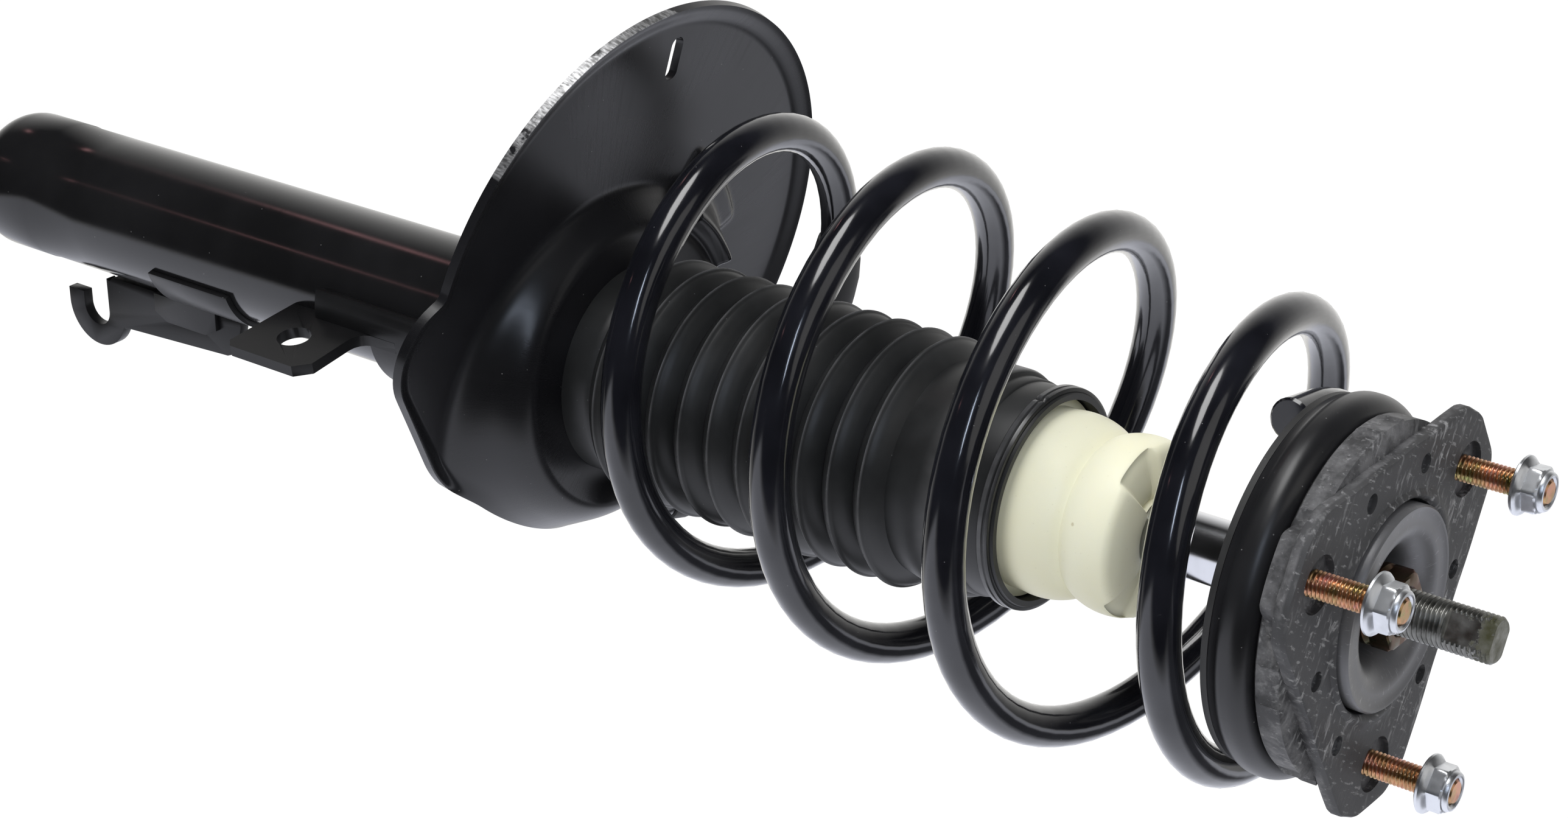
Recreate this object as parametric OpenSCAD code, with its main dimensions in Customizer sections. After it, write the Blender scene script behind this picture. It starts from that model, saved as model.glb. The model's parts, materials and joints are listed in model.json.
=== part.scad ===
// Ready-assembled front suspension strut: twin-tube damper with a coil spring,
// dust boot, bump stop, upper spring seat with its bearing, and a three-stud top mount.
// Millimetres. +Z runs up the strut's axis, and z = 0 is the closed lower end of the tube.

/* [Strut tube] */
// Diameter of the calibrated lower end that the knuckle clamps
clamp_d = 51; // [46:0.5:56]
// Length of the calibrated end
clamp_len = 21; // [12:1:22]
// Diameter of the tube above the clamped end
tube_d = 50.4; // [45:0.2:56]
// Wall of the tube
tube_wall = 2.6; // [2:0.1:3.2]
// Height of the tube's rolled upper edge
tube_len = 324; // [310:1:335]
// Radius of the closed lower corner
end_round = 13; // [6:0.5:14]
// Thickness of the closed lower end
end_wall = 4; // [3:0.5:6]

/* [Damper] */
// Diameter of the piston rod
rod_d = 20; // [16:0.5:22]
// Bore of the pressure tube
pressure_bore = 32; // [28:0.5:34]
// Wall of the pressure tube
pressure_wall = 1.5; // [1:0.1:2]
// Height of the rod guide
guide_h = 20; // [12:1:24]
// Height of the rod seal
seal_h = 5.7; // [4:0.1:7]
// Height of the piston
piston_h = 16; // [10:1:20]
// Height of the rebound stop ring
rebound_h = 8; // [5:0.5:12]
// Distance from the rebound stop down to the piston
rebound_gap = 14; // [8:1:30]
// Diameter of the rod's threaded upper end
thread_d = 14; // [10:1:16]
// Height above the base at which the rod steps down to its thread
rod_shoulder = 556; // [552:1:560]
// Length of the thread above the shoulder
thread_len = 57.3; // [50:0.1:62]
// Length of the two flats at the very end
flat_len = 15; // [8:1:20]
// Width across the two flats
flat_w = 10; // [8:0.5:11]

/* [Coil spring] */
// Wire diameter
wire_d = 12.6; // [10:0.1:13]
// Mean radius of the middle turns
coil_r = 73.6; // [70:0.1:76]
// Mean radius at the lower end
coil_r_low = 65.5; // [62:0.1:70]
// Mean radius at the upper end
coil_r_top = 49.3; // [47:0.1:52]
// Number of turns
turns = 4.5; // [4:0.01:5]
// Turns over which the lower end leaves its seat
low_blend = 0.43; // [0.2:0.01:0.8]
// Turns over which the upper end levels out
top_blend = 0.28; // [0.1:0.01:0.6]
// Turns that lie flat under the upper seat
flat_turns = 0.56; // [0.3:0.01:0.8]
// Direction in which the wire starts at the lower end, degrees from +X
coil_start = 112; // [105:1:125]
// Tilt of the middle turns towards +Y, degrees
coil_tilt = 6.6; // [4:0.1:8]
// Place of the spring's lower middle along X
coil_x = -3.3; // [-6:0.1:0]
// Place of the spring's lower middle along Y
coil_y = -21.3; // [-24:0.1:-18]
// Place of the spring's upper middle along X
coil_top_x = -5.9; // [-7:0.1:-2]
// Bow of the spring's middle towards +X
coil_bow = 7.4; // [3:0.1:10]
// Wall of the rubber sleeve on the lower end
sleeve_wall = 2.5; // [1.5:0.1:3]
// Turns that the sleeve covers
sleeve_turns = 0.3; // [0.2:0.05:0.5]

/* [Spring pan] */
// Radius of the pan's round edge
pan_r = 94.2; // [90:0.1:98]
// Tilt of the pan, degrees
pan_tilt = 12.3; // [8:0.1:14]
// Direction towards which the pan falls, degrees from +X
pan_fall = 115; // [100:1:130]
// Place of the pan's middle along X
pan_x = 0.4; // [-4:0.1:4]
// Place of the pan's middle along Y
pan_y = -30.9; // [-34:0.1:-26]
// Height above the base of the pan's floor at its middle
pan_z = 289.8; // [287:0.1:292]
// Reach of the lobe over the link bracket
lobe_reach = 108.7; // [102:0.1:112]
// Radius of that lobe
lobe_round = 21; // [16:0.5:26]
// Sheet thickness of the pan
pan_t = 3; // [2:0.1:4]
// Height of the raised rim
rim_h = 3; // [1:0.5:5]
// Foot radius of the raised middle
dome_r_low = 57; // [54:0.5:60]
// Crown radius of the raised middle
dome_r_top = 50; // [48:0.5:52]
// Height above the base of the raised middle's flat crown
dome_z = 304; // [302:0.5:306]
// Reach of the raised step behind the middle
step_reach = 70; // [64:0.5:76]
// Height of the step above the crown
step_h = 4; // [1:0.5:6]
// Length of the drain slot
slot_len = 15; // [8:0.5:20]
// Width of the drain slot
slot_w = 5.8; // [2:0.1:8]
// Height of the drawn neck that grips the tube
neck_h = 18; // [10:1:20]

/* [Dust boot] */
// Number of ribs
rib_n = 10; // [8:1:11]
// Rise of one rib
rib_pitch = 11.5; // [10.5:0.1:12]
// Radius over the ribs
rib_r = 40; // [38:0.5:41]
// Depth of a rib
rib_depth = 6; // [4:0.5:7]
// Wall of the boot
boot_wall = 1.8; // [1.2:0.1:2.4]
// Height of the plain foot under the ribs
boot_foot_h = 11.2; // [8:0.1:14]
// Radius of the shoulder over the ribs
shoulder_r = 36; // [34.5:0.1:38]
// Height from the ribs to the cuff
shoulder_h = 24.3; // [20:0.1:28]
// Radius of the cuff round the bump stop
cuff_r = 33.5; // [33:0.1:34]
// Height of the cuff
cuff_h = 14; // [11:0.5:18]
// Height of the snap ring on the cuff
snap_h = 4; // [2:0.5:5]
// Wall of the snap ring
snap_wall = 1.4; // [1:0.1:2]

/* [Bump stop] */
// Radius over the two lobes
lobe_r = 27.6; // [25:0.1:28.4]
// Radius of the waist between the lobes
waist_r = 25; // [22:0.5:26]
// Height of one lobe
lobe_h = 17; // [14:0.5:18]
// Radius of the nose's tip
nose_r = 17; // [14:0.5:20]
// Height of the nose above the lobes
nose_h = 3; // [2:0.5:8]
// Length of the bump stop's root inside the boot
root_len = 26; // [20:0.5:32]

/* [Hose bracket] */
// Direction that the bracket's plate faces, degrees from +X
hose_face = 30; // [20:1:40]
// Distance from the strut's axis to the plate's front
hose_off = 10; // [9:0.25:11]
// Sheet thickness of the hose bracket
hose_t = 4; // [2:0.25:5]
// Width of the hook's slot
hook_w = 13.5; // [10:0.25:15]
// Width of metal round the slot
hook_rim = 8.2; // [6:0.25:10]
// Height above the base of the slot's middle
hook_z = 51.2; // [48:0.25:54]
// Distance from the axis plane to the middle of the slot's round end
hook_s = 39.5; // [37:0.25:42]
// Height above the base of the plate's upper end
hose_top = 129; // [120:1:135]
// Width of the plate above the hook
plate_w = 17; // [14:0.5:20]
// Diameter of the plate's small hole
eyelet_d = 3; // [2:0.25:4]
// Height above the base of that hole
eyelet_z = 104.8; // [98:0.2:110]
// Sheet thickness of the bracket's foot
foot_t = 2; // [1.5:0.25:3]
// Height above the base of the foot's flange
flange_z = 86; // [84:1:90]
// Length of that flange
flange_h = 32; // [26:1:36]
// Height above the base of the foot's upper edge
foot_top = 140; // [132:1:146]

/* [Link bracket] */
// Direction in which the tab stands out, degrees from +X
link_dir = 38.3; // [30:0.1:46]
// Sheet thickness of the tab
link_t = 4; // [3:0.25:6]
// Lower edge of the tab
link_z = 172; // [168:1:176]
// Height of the tab
link_h = 37; // [34:1:40]
// Reach of the tab from the strut's axis
link_reach = 57.5; // [55:0.5:60]
// Diameter of the hole for the stabiliser link
link_hole_d = 12; // [8:0.5:14]
// Distance of that hole from the strut's axis
link_hole_s = 42.2; // [40:0.1:44]
// Distance of that hole above the tab's lower edge
link_hole_z = 18.5; // [16:0.5:20]
// Height of the saddle that wraps the tube
saddle_h = 57; // [50:1:62]
// Angle that the saddle wraps on either side of the tab
saddle_wrap = 24; // [18:1:30]

/* [Upper seat] */
// Radius of the upper spring seat
seat_r = 57; // [55:0.5:58]
// Bore radius of the upper spring seat
seat_bore_r = 29; // [28.5:0.1:30]
// Height above the base of the seat's underside
seat_z = 553; // [551:0.5:554]
// Height of the seat's rounded rim
seat_h = 13; // [12:0.5:14]
// Rounding of that rim
seat_round = 5; // [3:0.5:6]
// Thickness of the seat's floor
seat_t = 3; // [2:0.1:4]
// Thickness of the rubber under the seat
top_pad_t = 2; // [1:0.1:3]
// Number of balls in the bearing
ball_n = 24; // [12:1:26]
// Ball diameter
ball_d = 5; // [4:0.25:5.5]
// Radius of the circle of balls
ball_r = 39; // [38:0.5:42]
// Width of the races
race_w = 10; // [8:0.5:10]

/* [Top mount] */
// Height above the base of the face that meets the car
mount_z = 579.6; // [578:0.1:582]
// Thickness of the mount's three-cornered plate
mount_t = 10; // [8:0.5:12]
// Reach of the plate's rounded corners
corner_reach = 66; // [63:0.5:70]
// Distance from the axis to the plate's sides
side_reach = 46.5; // [44:0.5:49]
// Radius of the round body under the plate
mount_body_r = 53; // [50:0.5:55]
// Pitch circle diameter of the three studs
stud_pcd = 102.6; // [98:0.1:106]
// Stud diameter
stud_d = 8; // [6:1:10]
// Height of the studs above the plate
stud_len = 25.6; // [20:0.1:40]
// Width across the flats of the stud nuts
nut_af = 13; // [12:0.5:15]
// Diameter of the stud nuts' flange
nut_flange_d = 17.9; // [16:0.1:22]
// Height of the stud nuts
nut_h = 9; // [7:0.5:11]
// Radius of the six locating holes' circle
hole_circle_r = 41.7; // [40:0.1:44]
// Angle from each mid-side to its two locating holes
hole_spread = 22.6; // [18:0.1:26]
// Diameter of the six locating holes
locating_d = 6; // [4:0.25:7]
// Radius of the dished cup in the middle
cup_r = 30.6; // [29:0.1:32]
// Radius of the cup's own hole
cup_hole_r = 15.5; // [14:0.5:17]
// Height that the cup's edge stands above the plate
cup_proud = 3.4; // [1:0.1:5]
// Depth of the cup's floor below the plate
cup_depth = 11; // [9:0.25:12]
// Sheet thickness of the cup
cup_t = 2.2; // [1.5:0.1:3]
// Width across the flats of the rod nut
rod_nut_af = 21; // [19:0.5:24]

/* [Hidden] */

$fn = 96;
// clearance between pieces that are pressed or screwed together
fit = 0.05;
// running clearance of a shaft in its guide
run = 0.05;
// clearance between pieces that move past one another
clear = 0.3;
// an overshoot for cutters
over = 1;

tube_r = tube_d / 2;
tube_in = tube_r - tube_wall;
clamp_r = clamp_d / 2;
lip_t = 2.3;
lip_gap = 8;
lip_in = rod_d / 2 + lip_gap;
seal_z = tube_len - lip_t - seal_h;
guide_z = seal_z - guide_h;
valve_h = 10;
spigot_h = 6;
pressure_r = pressure_bore / 2;
pressure_z = end_wall + valve_h;

rebound_z = guide_z - clear - rebound_h;
piston_z = rebound_z - rebound_gap - piston_h;
stem_d = 11;
piston_nut_h = 7;
piston_nut_af = 17;
ring_overhang = 3;
port_n = 6;
port_d = 3;
thread_r = thread_d / 2;
flat_start = rod_shoulder + thread_len - flat_len;

// the wire runs from the raised middle of the pan up to the pad under the upper seat
wire_r = wire_d / 2;
wire_low = dome_z + fit + sleeve_wall + wire_r;
wire_top = seat_z - top_pad_t - fit - wire_r;
coil_low = wire_low + coil_r_low * sin(coil_start) * sin(coil_tilt);
coil_rise = wire_top - coil_low;
rise_turns = turns - flat_turns - low_blend / 2 - top_blend / 2;
// turns over which each end draws in, and over which the upper turns come level
low_draw = 1.33;
top_draw = 1.31;
level_turns = 1.68;
rings_per_turn = 24;
wire_sides = 6;

function smooth(s) = let (c = min(1, max(0, s))) c * c * (3 - 2 * c);
function coil_share(u) = let (
        s = min(u, turns - flat_turns),
        v = s - turns + flat_turns + top_blend)
    (s < low_blend ? s * s / (2 * low_blend)
        : s - low_blend / 2 - (v > 0 ? v * v / (2 * top_blend) : 0)) / rise_turns;
function turn_r(u) = coil_r
    - (coil_r - coil_r_low) * smooth(1 - u / low_draw)
    - (coil_r - coil_r_top) * smooth((u - turns + top_draw) / top_draw);
function turn_tilt(u) = coil_tilt * (1 - smooth((u - turns + level_turns) / level_turns));
function on_coil(u) = let (
        a = coil_start + 360 * u,
        f = coil_share(u),
        across = turn_r(u) * sin(a),
        bow = 4 * coil_bow * f * (1 - f))
    [coil_x + (coil_top_x - coil_x) * f + bow + turn_r(u) * cos(a),
        coil_y * (1 - f) - bow / 3 + across * cos(turn_tilt(u)),
        coil_low + coil_rise * f - across * sin(turn_tilt(u))];

coil_steps = round(turns * rings_per_turn);
function unit(v) = v / norm(v);
// the first and last ring stand one wire diameter straight out along the wire
wire_path = let (
        inner = [for (i = [0 : coil_steps]) on_coil(turns * i / coil_steps)],
        first = unit(inner[0] - inner[1]),
        last = unit(inner[coil_steps] - inner[coil_steps - 1]))
    concat([inner[0] + wire_d * [first[0], first[1], 0]], inner,
        [inner[coil_steps] + wire_d * [last[0], last[1], 0]]);
function along(p, i) = unit(p[min(len(p) - 1, i + 1)] - p[max(0, i - 1)]);
function ring_points(p, i, r) = let (
        t = along(p, i),
        side = unit(cross(t, [0, 0, 1])),
        up = cross(side, t))
    [for (k = [0 : wire_sides - 1])
        p[i] + r * (cos(360 * k / wire_sides) * side + sin(360 * k / wire_sides) * up)];

// least clear distance between one turn and the next, on points along the wire
gap_step = 1 / 48;
self_gap = min([for (u = [0 : gap_step : turns - 0.75])
    min([for (w = [u + 0.75 : gap_step : min(turns, u + 1.25)]) norm(on_coil(u) - on_coil(w))])]) - wire_d;
echo(coil_spring_least_gap = self_gap);

boot_z = dome_z + fit;
ribs_z = boot_z + boot_foot_h;
ribs_top = ribs_z + rib_n * rib_pitch;
valley_r = rib_r - rib_depth;
cuff_z = ribs_top + shoulder_h;
boot_top = cuff_z + cuff_h;
cuff_in = cuff_r - boot_wall;
root_z = boot_top - root_len;
lobes_top = boot_top + 2 * lobe_h;
nose_z = lobes_top + nose_h;
bump_bore = rod_d / 2 + clear;

mount_low = seat_z + seat_h + clear;
race_t = 3.4;
race_low_z = seat_z + seat_t;
race_top_z = mount_low - race_t;
ball_z = (race_low_z + mount_low) / 2;
cage_t = 1.2;
cage_w = 8;
core_r = cup_r + over;
cup_floor = mount_z - cup_depth;
core_rise = 3;
core_low = rod_shoulder + core_rise;
// the sleeve is as wide as the rod, so that the bump stop passes over both
sleeve_r = rod_d / 2;
sleeve_down = 4;
sleeve_top = mount_z - sleeve_down;
rod_nut_h = 9;
rod_washer_t = 2;
nut_z = mount_z + stud_len - nut_h;
ear_r = 2 * side_reach - corner_reach;
ear_s = corner_reach - ear_r;
stud_head_t = 3;
stud_head_d = 13;
stud_recess_d = 17;
stud_recess_h = 1.5;
stud_head_z = mount_z - mount_t + over;
locating_h = 8;

module ring(r_in, r_out, z, h) {
    translate([0, 0, z])
        difference() {
            cylinder(r = r_out, h = h);
            translate([0, 0, -over])
                cylinder(r = r_in, h = h + 2 * over);
        }
}

// ---- damper ----

module outer_tube() {
    color([0.16, 0.16, 0.17])
        rotate_extrude()
            difference() {
                union() {
                    translate([0, end_round])
                        square([clamp_r, clamp_len]);
                    translate([0, end_round])
                        square([tube_r, tube_len - end_round]);
                    square([clamp_r - end_round, end_round + over]);
                    translate([clamp_r - end_round, end_round])
                        intersection() {
                            circle(end_round);
                            translate([0, -end_round])
                                square(end_round + over);
                        }
                }
                // the bore's lower corner follows the rounded end
                translate([0, end_round])
                    square([tube_in, tube_len - end_round - lip_t]);
                translate([0, end_wall])
                    square([tube_in - end_round + end_wall, end_round]);
                translate([tube_in - end_round + end_wall, end_round])
                    circle(end_round - end_wall);
                translate([0, tube_len - lip_t - over])
                    square([lip_in, lip_t + 2 * over]);
            }
}

module pressure_tube() {
    color([0.6, 0.6, 0.62])
        ring(pressure_r, pressure_r + pressure_wall, pressure_z, guide_z - pressure_z);
}

module base_valve() {
    valve_r = min(pressure_r + pressure_wall, tube_in - end_round + end_wall);
    color([0.55, 0.54, 0.5])
        difference() {
            union() {
                translate([0, 0, end_wall])
                    cylinder(r = valve_r, h = valve_h);
                translate([0, 0, pressure_z - over])
                    cylinder(r = pressure_r - fit, h = spigot_h + over);
            }
            for (i = [0 : port_n - 1])
                rotate([0, 0, 360 * i / port_n])
                    translate([pressure_r / 2, 0, end_wall + valve_h / 2])
                        cylinder(d = port_d, h = valve_h + spigot_h, $fn = 32);
        }
}

module rod_guide() {
    color([0.5, 0.5, 0.52])
        ring(rod_d / 2 + run, tube_in - fit, guide_z, guide_h);
}

module rod_seal() {
    color([0.1, 0.1, 0.1])
        ring(rod_d / 2 + run, tube_in - fit, seal_z, seal_h);
}

module piston_rod() {
    color([0.85, 0.86, 0.88])
        union() {
            translate([0, 0, piston_z + piston_h])
                cylinder(d = rod_d, h = rod_shoulder - piston_z - piston_h);
            translate([0, 0, piston_z - piston_nut_h])
                cylinder(d = stem_d, h = piston_h + piston_nut_h + over);
            difference() {
                translate([0, 0, rod_shoulder - over])
                    cylinder(r = thread_r, h = thread_len + over);
                for (side = [0, 180])
                    rotate([0, 0, side])
                        translate([flat_w / 2, -thread_r - over, flat_start])
                            cube([thread_r, 2 * (thread_r + over), flat_len + over]);
            }
        }
}

module piston() {
    color([0.42, 0.4, 0.38])
        difference() {
            ring(stem_d / 2 + fit, pressure_r - run, piston_z, piston_h);
            for (i = [0 : port_n - 1])
                rotate([0, 0, 360 * i / port_n])
                    translate([(pressure_r + stem_d / 2) / 2, 0, piston_z - over])
                        cylinder(d = port_d, h = piston_h + 2 * over, $fn = 32);
        }
}

module piston_nut() {
    color([0.6, 0.6, 0.6])
        difference() {
            translate([0, 0, piston_z - piston_nut_h])
                cylinder(d = piston_nut_af / cos(30), h = piston_nut_h, $fn = 6);
            translate([0, 0, piston_z - piston_nut_h - over])
                cylinder(r = stem_d / 2 + fit, h = piston_nut_h + 2 * over);
        }
}

module rebound_stop() {
    color([0.2, 0.2, 0.22])
        ring(rod_d / 2 + fit, rod_d / 2 + ring_overhang, rebound_z, rebound_h);
}

// ---- spring and its lower seat ----

// one closed tube of triangles round the path, from ring first to ring last
module coil_tube(first, last, r, r_in) {
    rows = last - first + 1;
    outer = [for (i = [first : last]) each ring_points(wire_path, i, r)];
    inner = [for (i = [first : last]) each ring_points(wire_path, i, r_in)];
    function at(i, k) = i * wire_sides + k % wire_sides;
    shell = rows * wire_sides;
    skin = [for (i = [0 : rows - 2], k = [0 : wire_sides - 1]) each [
        [at(i, k), at(i + 1, k), at(i + 1, k + 1)],
        [at(i, k), at(i + 1, k + 1), at(i, k + 1)]]];
    if (r_in > 0)
        polyhedron(concat(outer, inner), concat(skin,
            [for (f = skin) [f[0] + shell, f[2] + shell, f[1] + shell]],
            [for (k = [0 : wire_sides - 1]) each [
                [at(0, k), at(0, k + 1), shell + at(0, k + 1)],
                [at(0, k), shell + at(0, k + 1), shell + at(0, k)],
                [at(rows - 1, k), shell + at(rows - 1, k), shell + at(rows - 1, k + 1)],
                [at(rows - 1, k), shell + at(rows - 1, k + 1), at(rows - 1, k + 1)]]]));
    else
        polyhedron(concat(outer, [wire_path[first], wire_path[last]]), concat(skin,
            [for (k = [0 : wire_sides - 1]) each [
                [shell, at(0, k), at(0, k + 1)],
                [shell + 1, at(rows - 1, k + 1), at(rows - 1, k)]]]));
}

module coil_spring() {
    color([0.12, 0.13, 0.16])
        coil_tube(0, len(wire_path) - 1, wire_r, 0);
}

module coil_sleeve() {
    color([0.2, 0.2, 0.2])
        coil_tube(1, 1 + round(sleeve_turns * rings_per_turn), wire_r + sleeve_wall, wire_r + fit);
}

module pan_frame() {
    translate([pan_x, pan_y, pan_z])
        rotate([0, 0, pan_fall])
            rotate([0, pan_tilt, 0])
                rotate([0, 0, -pan_fall])
                    children();
}

// the pan's outline, drawn in by a margin: a circle with a lobe over the link bracket
lobe_dir = 31;
blend_dir = 52;
blend_reach = 99;
blend_round = 55;
blend_steps = 2;
module pan_outline(margin) {
    lobe = (lobe_reach - lobe_round) * [cos(lobe_dir), sin(lobe_dir)];
    blend = (blend_reach - blend_round) * [cos(blend_dir), sin(blend_dir)];
    circle(pan_r - margin);
    for (i = [0 : blend_steps])
        translate(lobe + i / blend_steps * (blend - lobe))
            circle(lobe_round + i / blend_steps * (blend_round - lobe_round) - margin);
}

slot_dir = -66;
slot_s = 75.5;
module pan_slot() {
    rotate([0, 0, slot_dir])
        translate([slot_s, 0, -pan_t - over]) {
            for (side = [-1, 1])
                translate([side * (slot_len - slot_w) / 2, 0, 0])
                    cylinder(d = slot_w, h = pan_t + 2 * over, $fn = 32);
            translate([-(slot_len - slot_w) / 2, -slot_w / 2, 0])
                cube([slot_len - slot_w, slot_w, pan_t + 2 * over]);
        }
}

// the raised middle stands on the tilted floor and has a level crown
dome_deep = 40;
dome_slope = (dome_r_low - dome_r_top) / (dome_z - pan_z);
module dome(margin) {
    top = dome_z - margin;
    translate([0, 0, top - dome_deep])
        cylinder(r1 = dome_r_top + dome_slope * dome_deep - margin, r2 = dome_r_top - margin, h = dome_deep);
}

// the raised step behind the crown, as a wedge of a ring
step_dir = -112;
step_span = 30;
module pan_step(margin) {
    top = dome_z + step_h - margin;
    rotate([0, 0, step_dir - step_span / 2])
        rotate_extrude(angle = step_span)
            translate([dome_r_top - 2 * pan_t, top - dome_deep])
                square([step_reach - margin - dome_r_top + 2 * pan_t, dome_deep]);
}

module above_pan(h) {
    pan_frame()
        translate([0, 0, h])
            cylinder(r = 2 * pan_r, h = 2 * dome_deep);
}

module spring_pan() {
    color([0.13, 0.13, 0.15])
        difference() {
            union() {
                pan_frame() {
                    translate([0, 0, -pan_t])
                        linear_extrude(pan_t)
                            pan_outline(0);
                    linear_extrude(rim_h)
                        difference() {
                            pan_outline(0);
                            pan_outline(pan_t);
                        }
                }
                intersection() {
                    union() {
                        dome(0);
                        pan_step(0);
                    }
                    above_pan(-pan_t);
                }
            }
            difference() {
                dome(pan_t);
                ring(tube_r, tube_r + pan_t, dome_z - neck_h, neck_h);
            }
            pan_frame()
                pan_slot();
            translate([0, 0, dome_z - 2 * dome_deep])
                cylinder(r = tube_r + fit, h = 3 * dome_deep);
        }
}

// ---- boot and bump stop ----

module boot_profile() {
    crest = rib_pitch / 8;
    crest_round = 1;
    foot_r = valley_r + 1;
    foot_ease = 2;
    cuff_ease = 3;
    ribs = [for (i = [0 : rib_n - 1]) let (z = ribs_z + (i + 0.5) * rib_pitch) each [
        [valley_r, z - rib_pitch / 2], [rib_r - crest_round, z - crest], [rib_r, z],
        [rib_r - crest_round, z + crest]]];
    outer = concat([[foot_r, boot_z], [foot_r, ribs_z - foot_ease]], ribs, [
        [valley_r, ribs_top],
        [shoulder_r, ribs_top + rib_pitch],
        [shoulder_r, cuff_z - cuff_ease],
        [cuff_r, cuff_z],
        [cuff_r, boot_top]]);
    inner = [for (i = [len(outer) - 1 : -1 : 0]) [outer[i][0] - boot_wall, outer[i][1]]];
    polygon(concat(outer, inner));
}

module dust_boot() {
    color([0.06, 0.06, 0.065])
        rotate_extrude()
            boot_profile();
}

module bump_stop() {
    root_r = cuff_in - clear;
    groove = lobe_r - waist_r;
    mouth = 2;
    color([0.86, 0.82, 0.7])
        rotate_extrude()
            polygon([
                [bump_bore, root_z], [waist_r - groove, root_z], [waist_r, root_z + groove],
                [root_r, root_z + root_len / 3], [root_r, boot_top - over],
                for (i = [0, 1], k = [0 : 6]) let (a = 180 * (k / 6) - 90)
                    [waist_r + groove * cos(a), boot_top + (i + 0.5 + sin(a) / 2) * lobe_h],
                [nose_r, nose_z], [bump_bore + mouth, nose_z],
                [bump_bore, nose_z - mouth]]);
}

module snap_ring() {
    color([0.2, 0.2, 0.21])
        ring(cuff_r + fit, cuff_r + snap_wall, boot_top - snap_h - over, snap_h);
}

// ---- brackets on the tube ----

module hose_plate_outline() {
    inner = tube_r - 0.3;
    slot_top = hook_z + hook_w / 2;
    slot_low = hook_z - hook_w / 2;
    outer_s = inner + plate_w;
    lip = 5;
    corner = 3;
    taper = 2;
    eyelet_in = 8;
    difference() {
        union() {
            translate([hook_s, hook_z])
                circle(hook_w / 2 + hook_rim);
            polygon([
                [inner, slot_top + hose_t], [inner + corner, slot_top], [hook_s, slot_top],
                [hook_s + lip, slot_top + hook_rim], [outer_s + taper, slot_top + hook_rim + taper],
                [outer_s - taper / 2, hose_top - eyelet_in], [outer_s - corner, hose_top - corner],
                [inner + corner, hose_top], [inner, hose_top]]);
            translate([hook_s - lip, slot_low - hook_rim])
                square([lip, hook_rim]);
        }
        translate([hook_s, hook_z])
            circle(hook_w / 2);
        translate([0, slot_low])
            square([hook_s, hook_w]);
        square([hook_s - lip, slot_low]);
        translate([hook_s - eyelet_in, eyelet_z])
            circle(d = eyelet_d, $fn = 32);
    }
}

module hose_bracket() {
    color([0.22, 0.22, 0.24])
        rotate([0, 0, hose_face])
            translate([hose_off - hose_t, 0, 0])
                rotate([90, 0, 90])
                    linear_extrude(hose_t)
                        hose_plate_outline();
}

module hose_bracket_foot() {
    wrap_low = 18;
    wrap_high = acos(hose_off / tube_r) - 1;
    saddle_rise = 14;
    saddle_z = flange_z + saddle_rise;
    root = sqrt(pow(tube_r + fit + foot_t / 2, 2) - pow(hose_off, 2));
    flange_w = 9.2;
    reach = tube_r + flange_w;
    bevel = 3;
    color([0.26, 0.26, 0.28])
        rotate([0, 0, hose_face]) {
            rotate([0, 0, wrap_low])
                rotate_extrude(angle = wrap_high - wrap_low)
                    translate([tube_r + fit, saddle_z])
                        square([foot_t, foot_top - saddle_z]);
            translate([hose_off, 0, 0])
                rotate([90, 0, 90])
                    linear_extrude(foot_t)
                        polygon([
                            [root, flange_z], [reach - bevel, flange_z],
                            [reach, flange_z + 2 * bevel], [reach, flange_z + flange_h - 2 * bevel],
                            [reach - bevel, flange_z + flange_h], [root, flange_z + flange_h]]);
        }
}

link_top = link_z + link_h;
// the saddle starts this far above the tab's lower edge, and the tab's root ends as far above its top
root_rise = 16;
link_saddle_z = link_z + root_rise;
saddle_top = link_saddle_z + saddle_h;
module link_tab_outline() {
    inner = tube_r + fit;
    fillet = 6;
    low_corner = 3;
    high_corner = 5;
    low_fall = 2;
    difference() {
        polygon([
            [inner, link_z + low_fall], [link_reach - low_corner, link_z], [link_reach, link_z + low_corner],
            [link_reach, link_top - high_corner], [link_reach - high_corner, link_top],
            [inner + link_t + fillet, link_top],
            for (a = [20 : 20 : 80])
                [inner + link_t + fillet * (1 - sin(a)), link_top + fillet * (1 - cos(a))],
            [inner + link_t, link_top + root_rise], [inner, link_top + root_rise]]);
        translate([link_hole_s, link_z + link_hole_z])
            circle(d = link_hole_d);
    }
}

module link_bracket() {
    rear_wrap = 2 * saddle_wrap - 4;
    rear_z = link_top + link_t;
    color([0.2, 0.2, 0.21])
        difference() {
            union() {
                rotate([0, 0, link_dir])
                    translate([0, link_t / 2, 0])
                        rotate([90, 0, 0])
                            linear_extrude(link_t)
                                link_tab_outline();
                rotate([0, 0, link_dir - saddle_wrap])
                    rotate_extrude(angle = saddle_wrap)
                        translate([tube_r + fit, link_saddle_z])
                            square([link_t, saddle_h]);
                rotate([0, 0, link_dir])
                    rotate_extrude(angle = rear_wrap)
                        translate([tube_r + fit, rear_z])
                            square([link_t, saddle_top - rear_z]);
            }
            translate([0, 0, link_z - over])
                cylinder(r = tube_r + fit, h = 2 * link_top);
        }
}

// ---- upper seat and bearing ----

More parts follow.
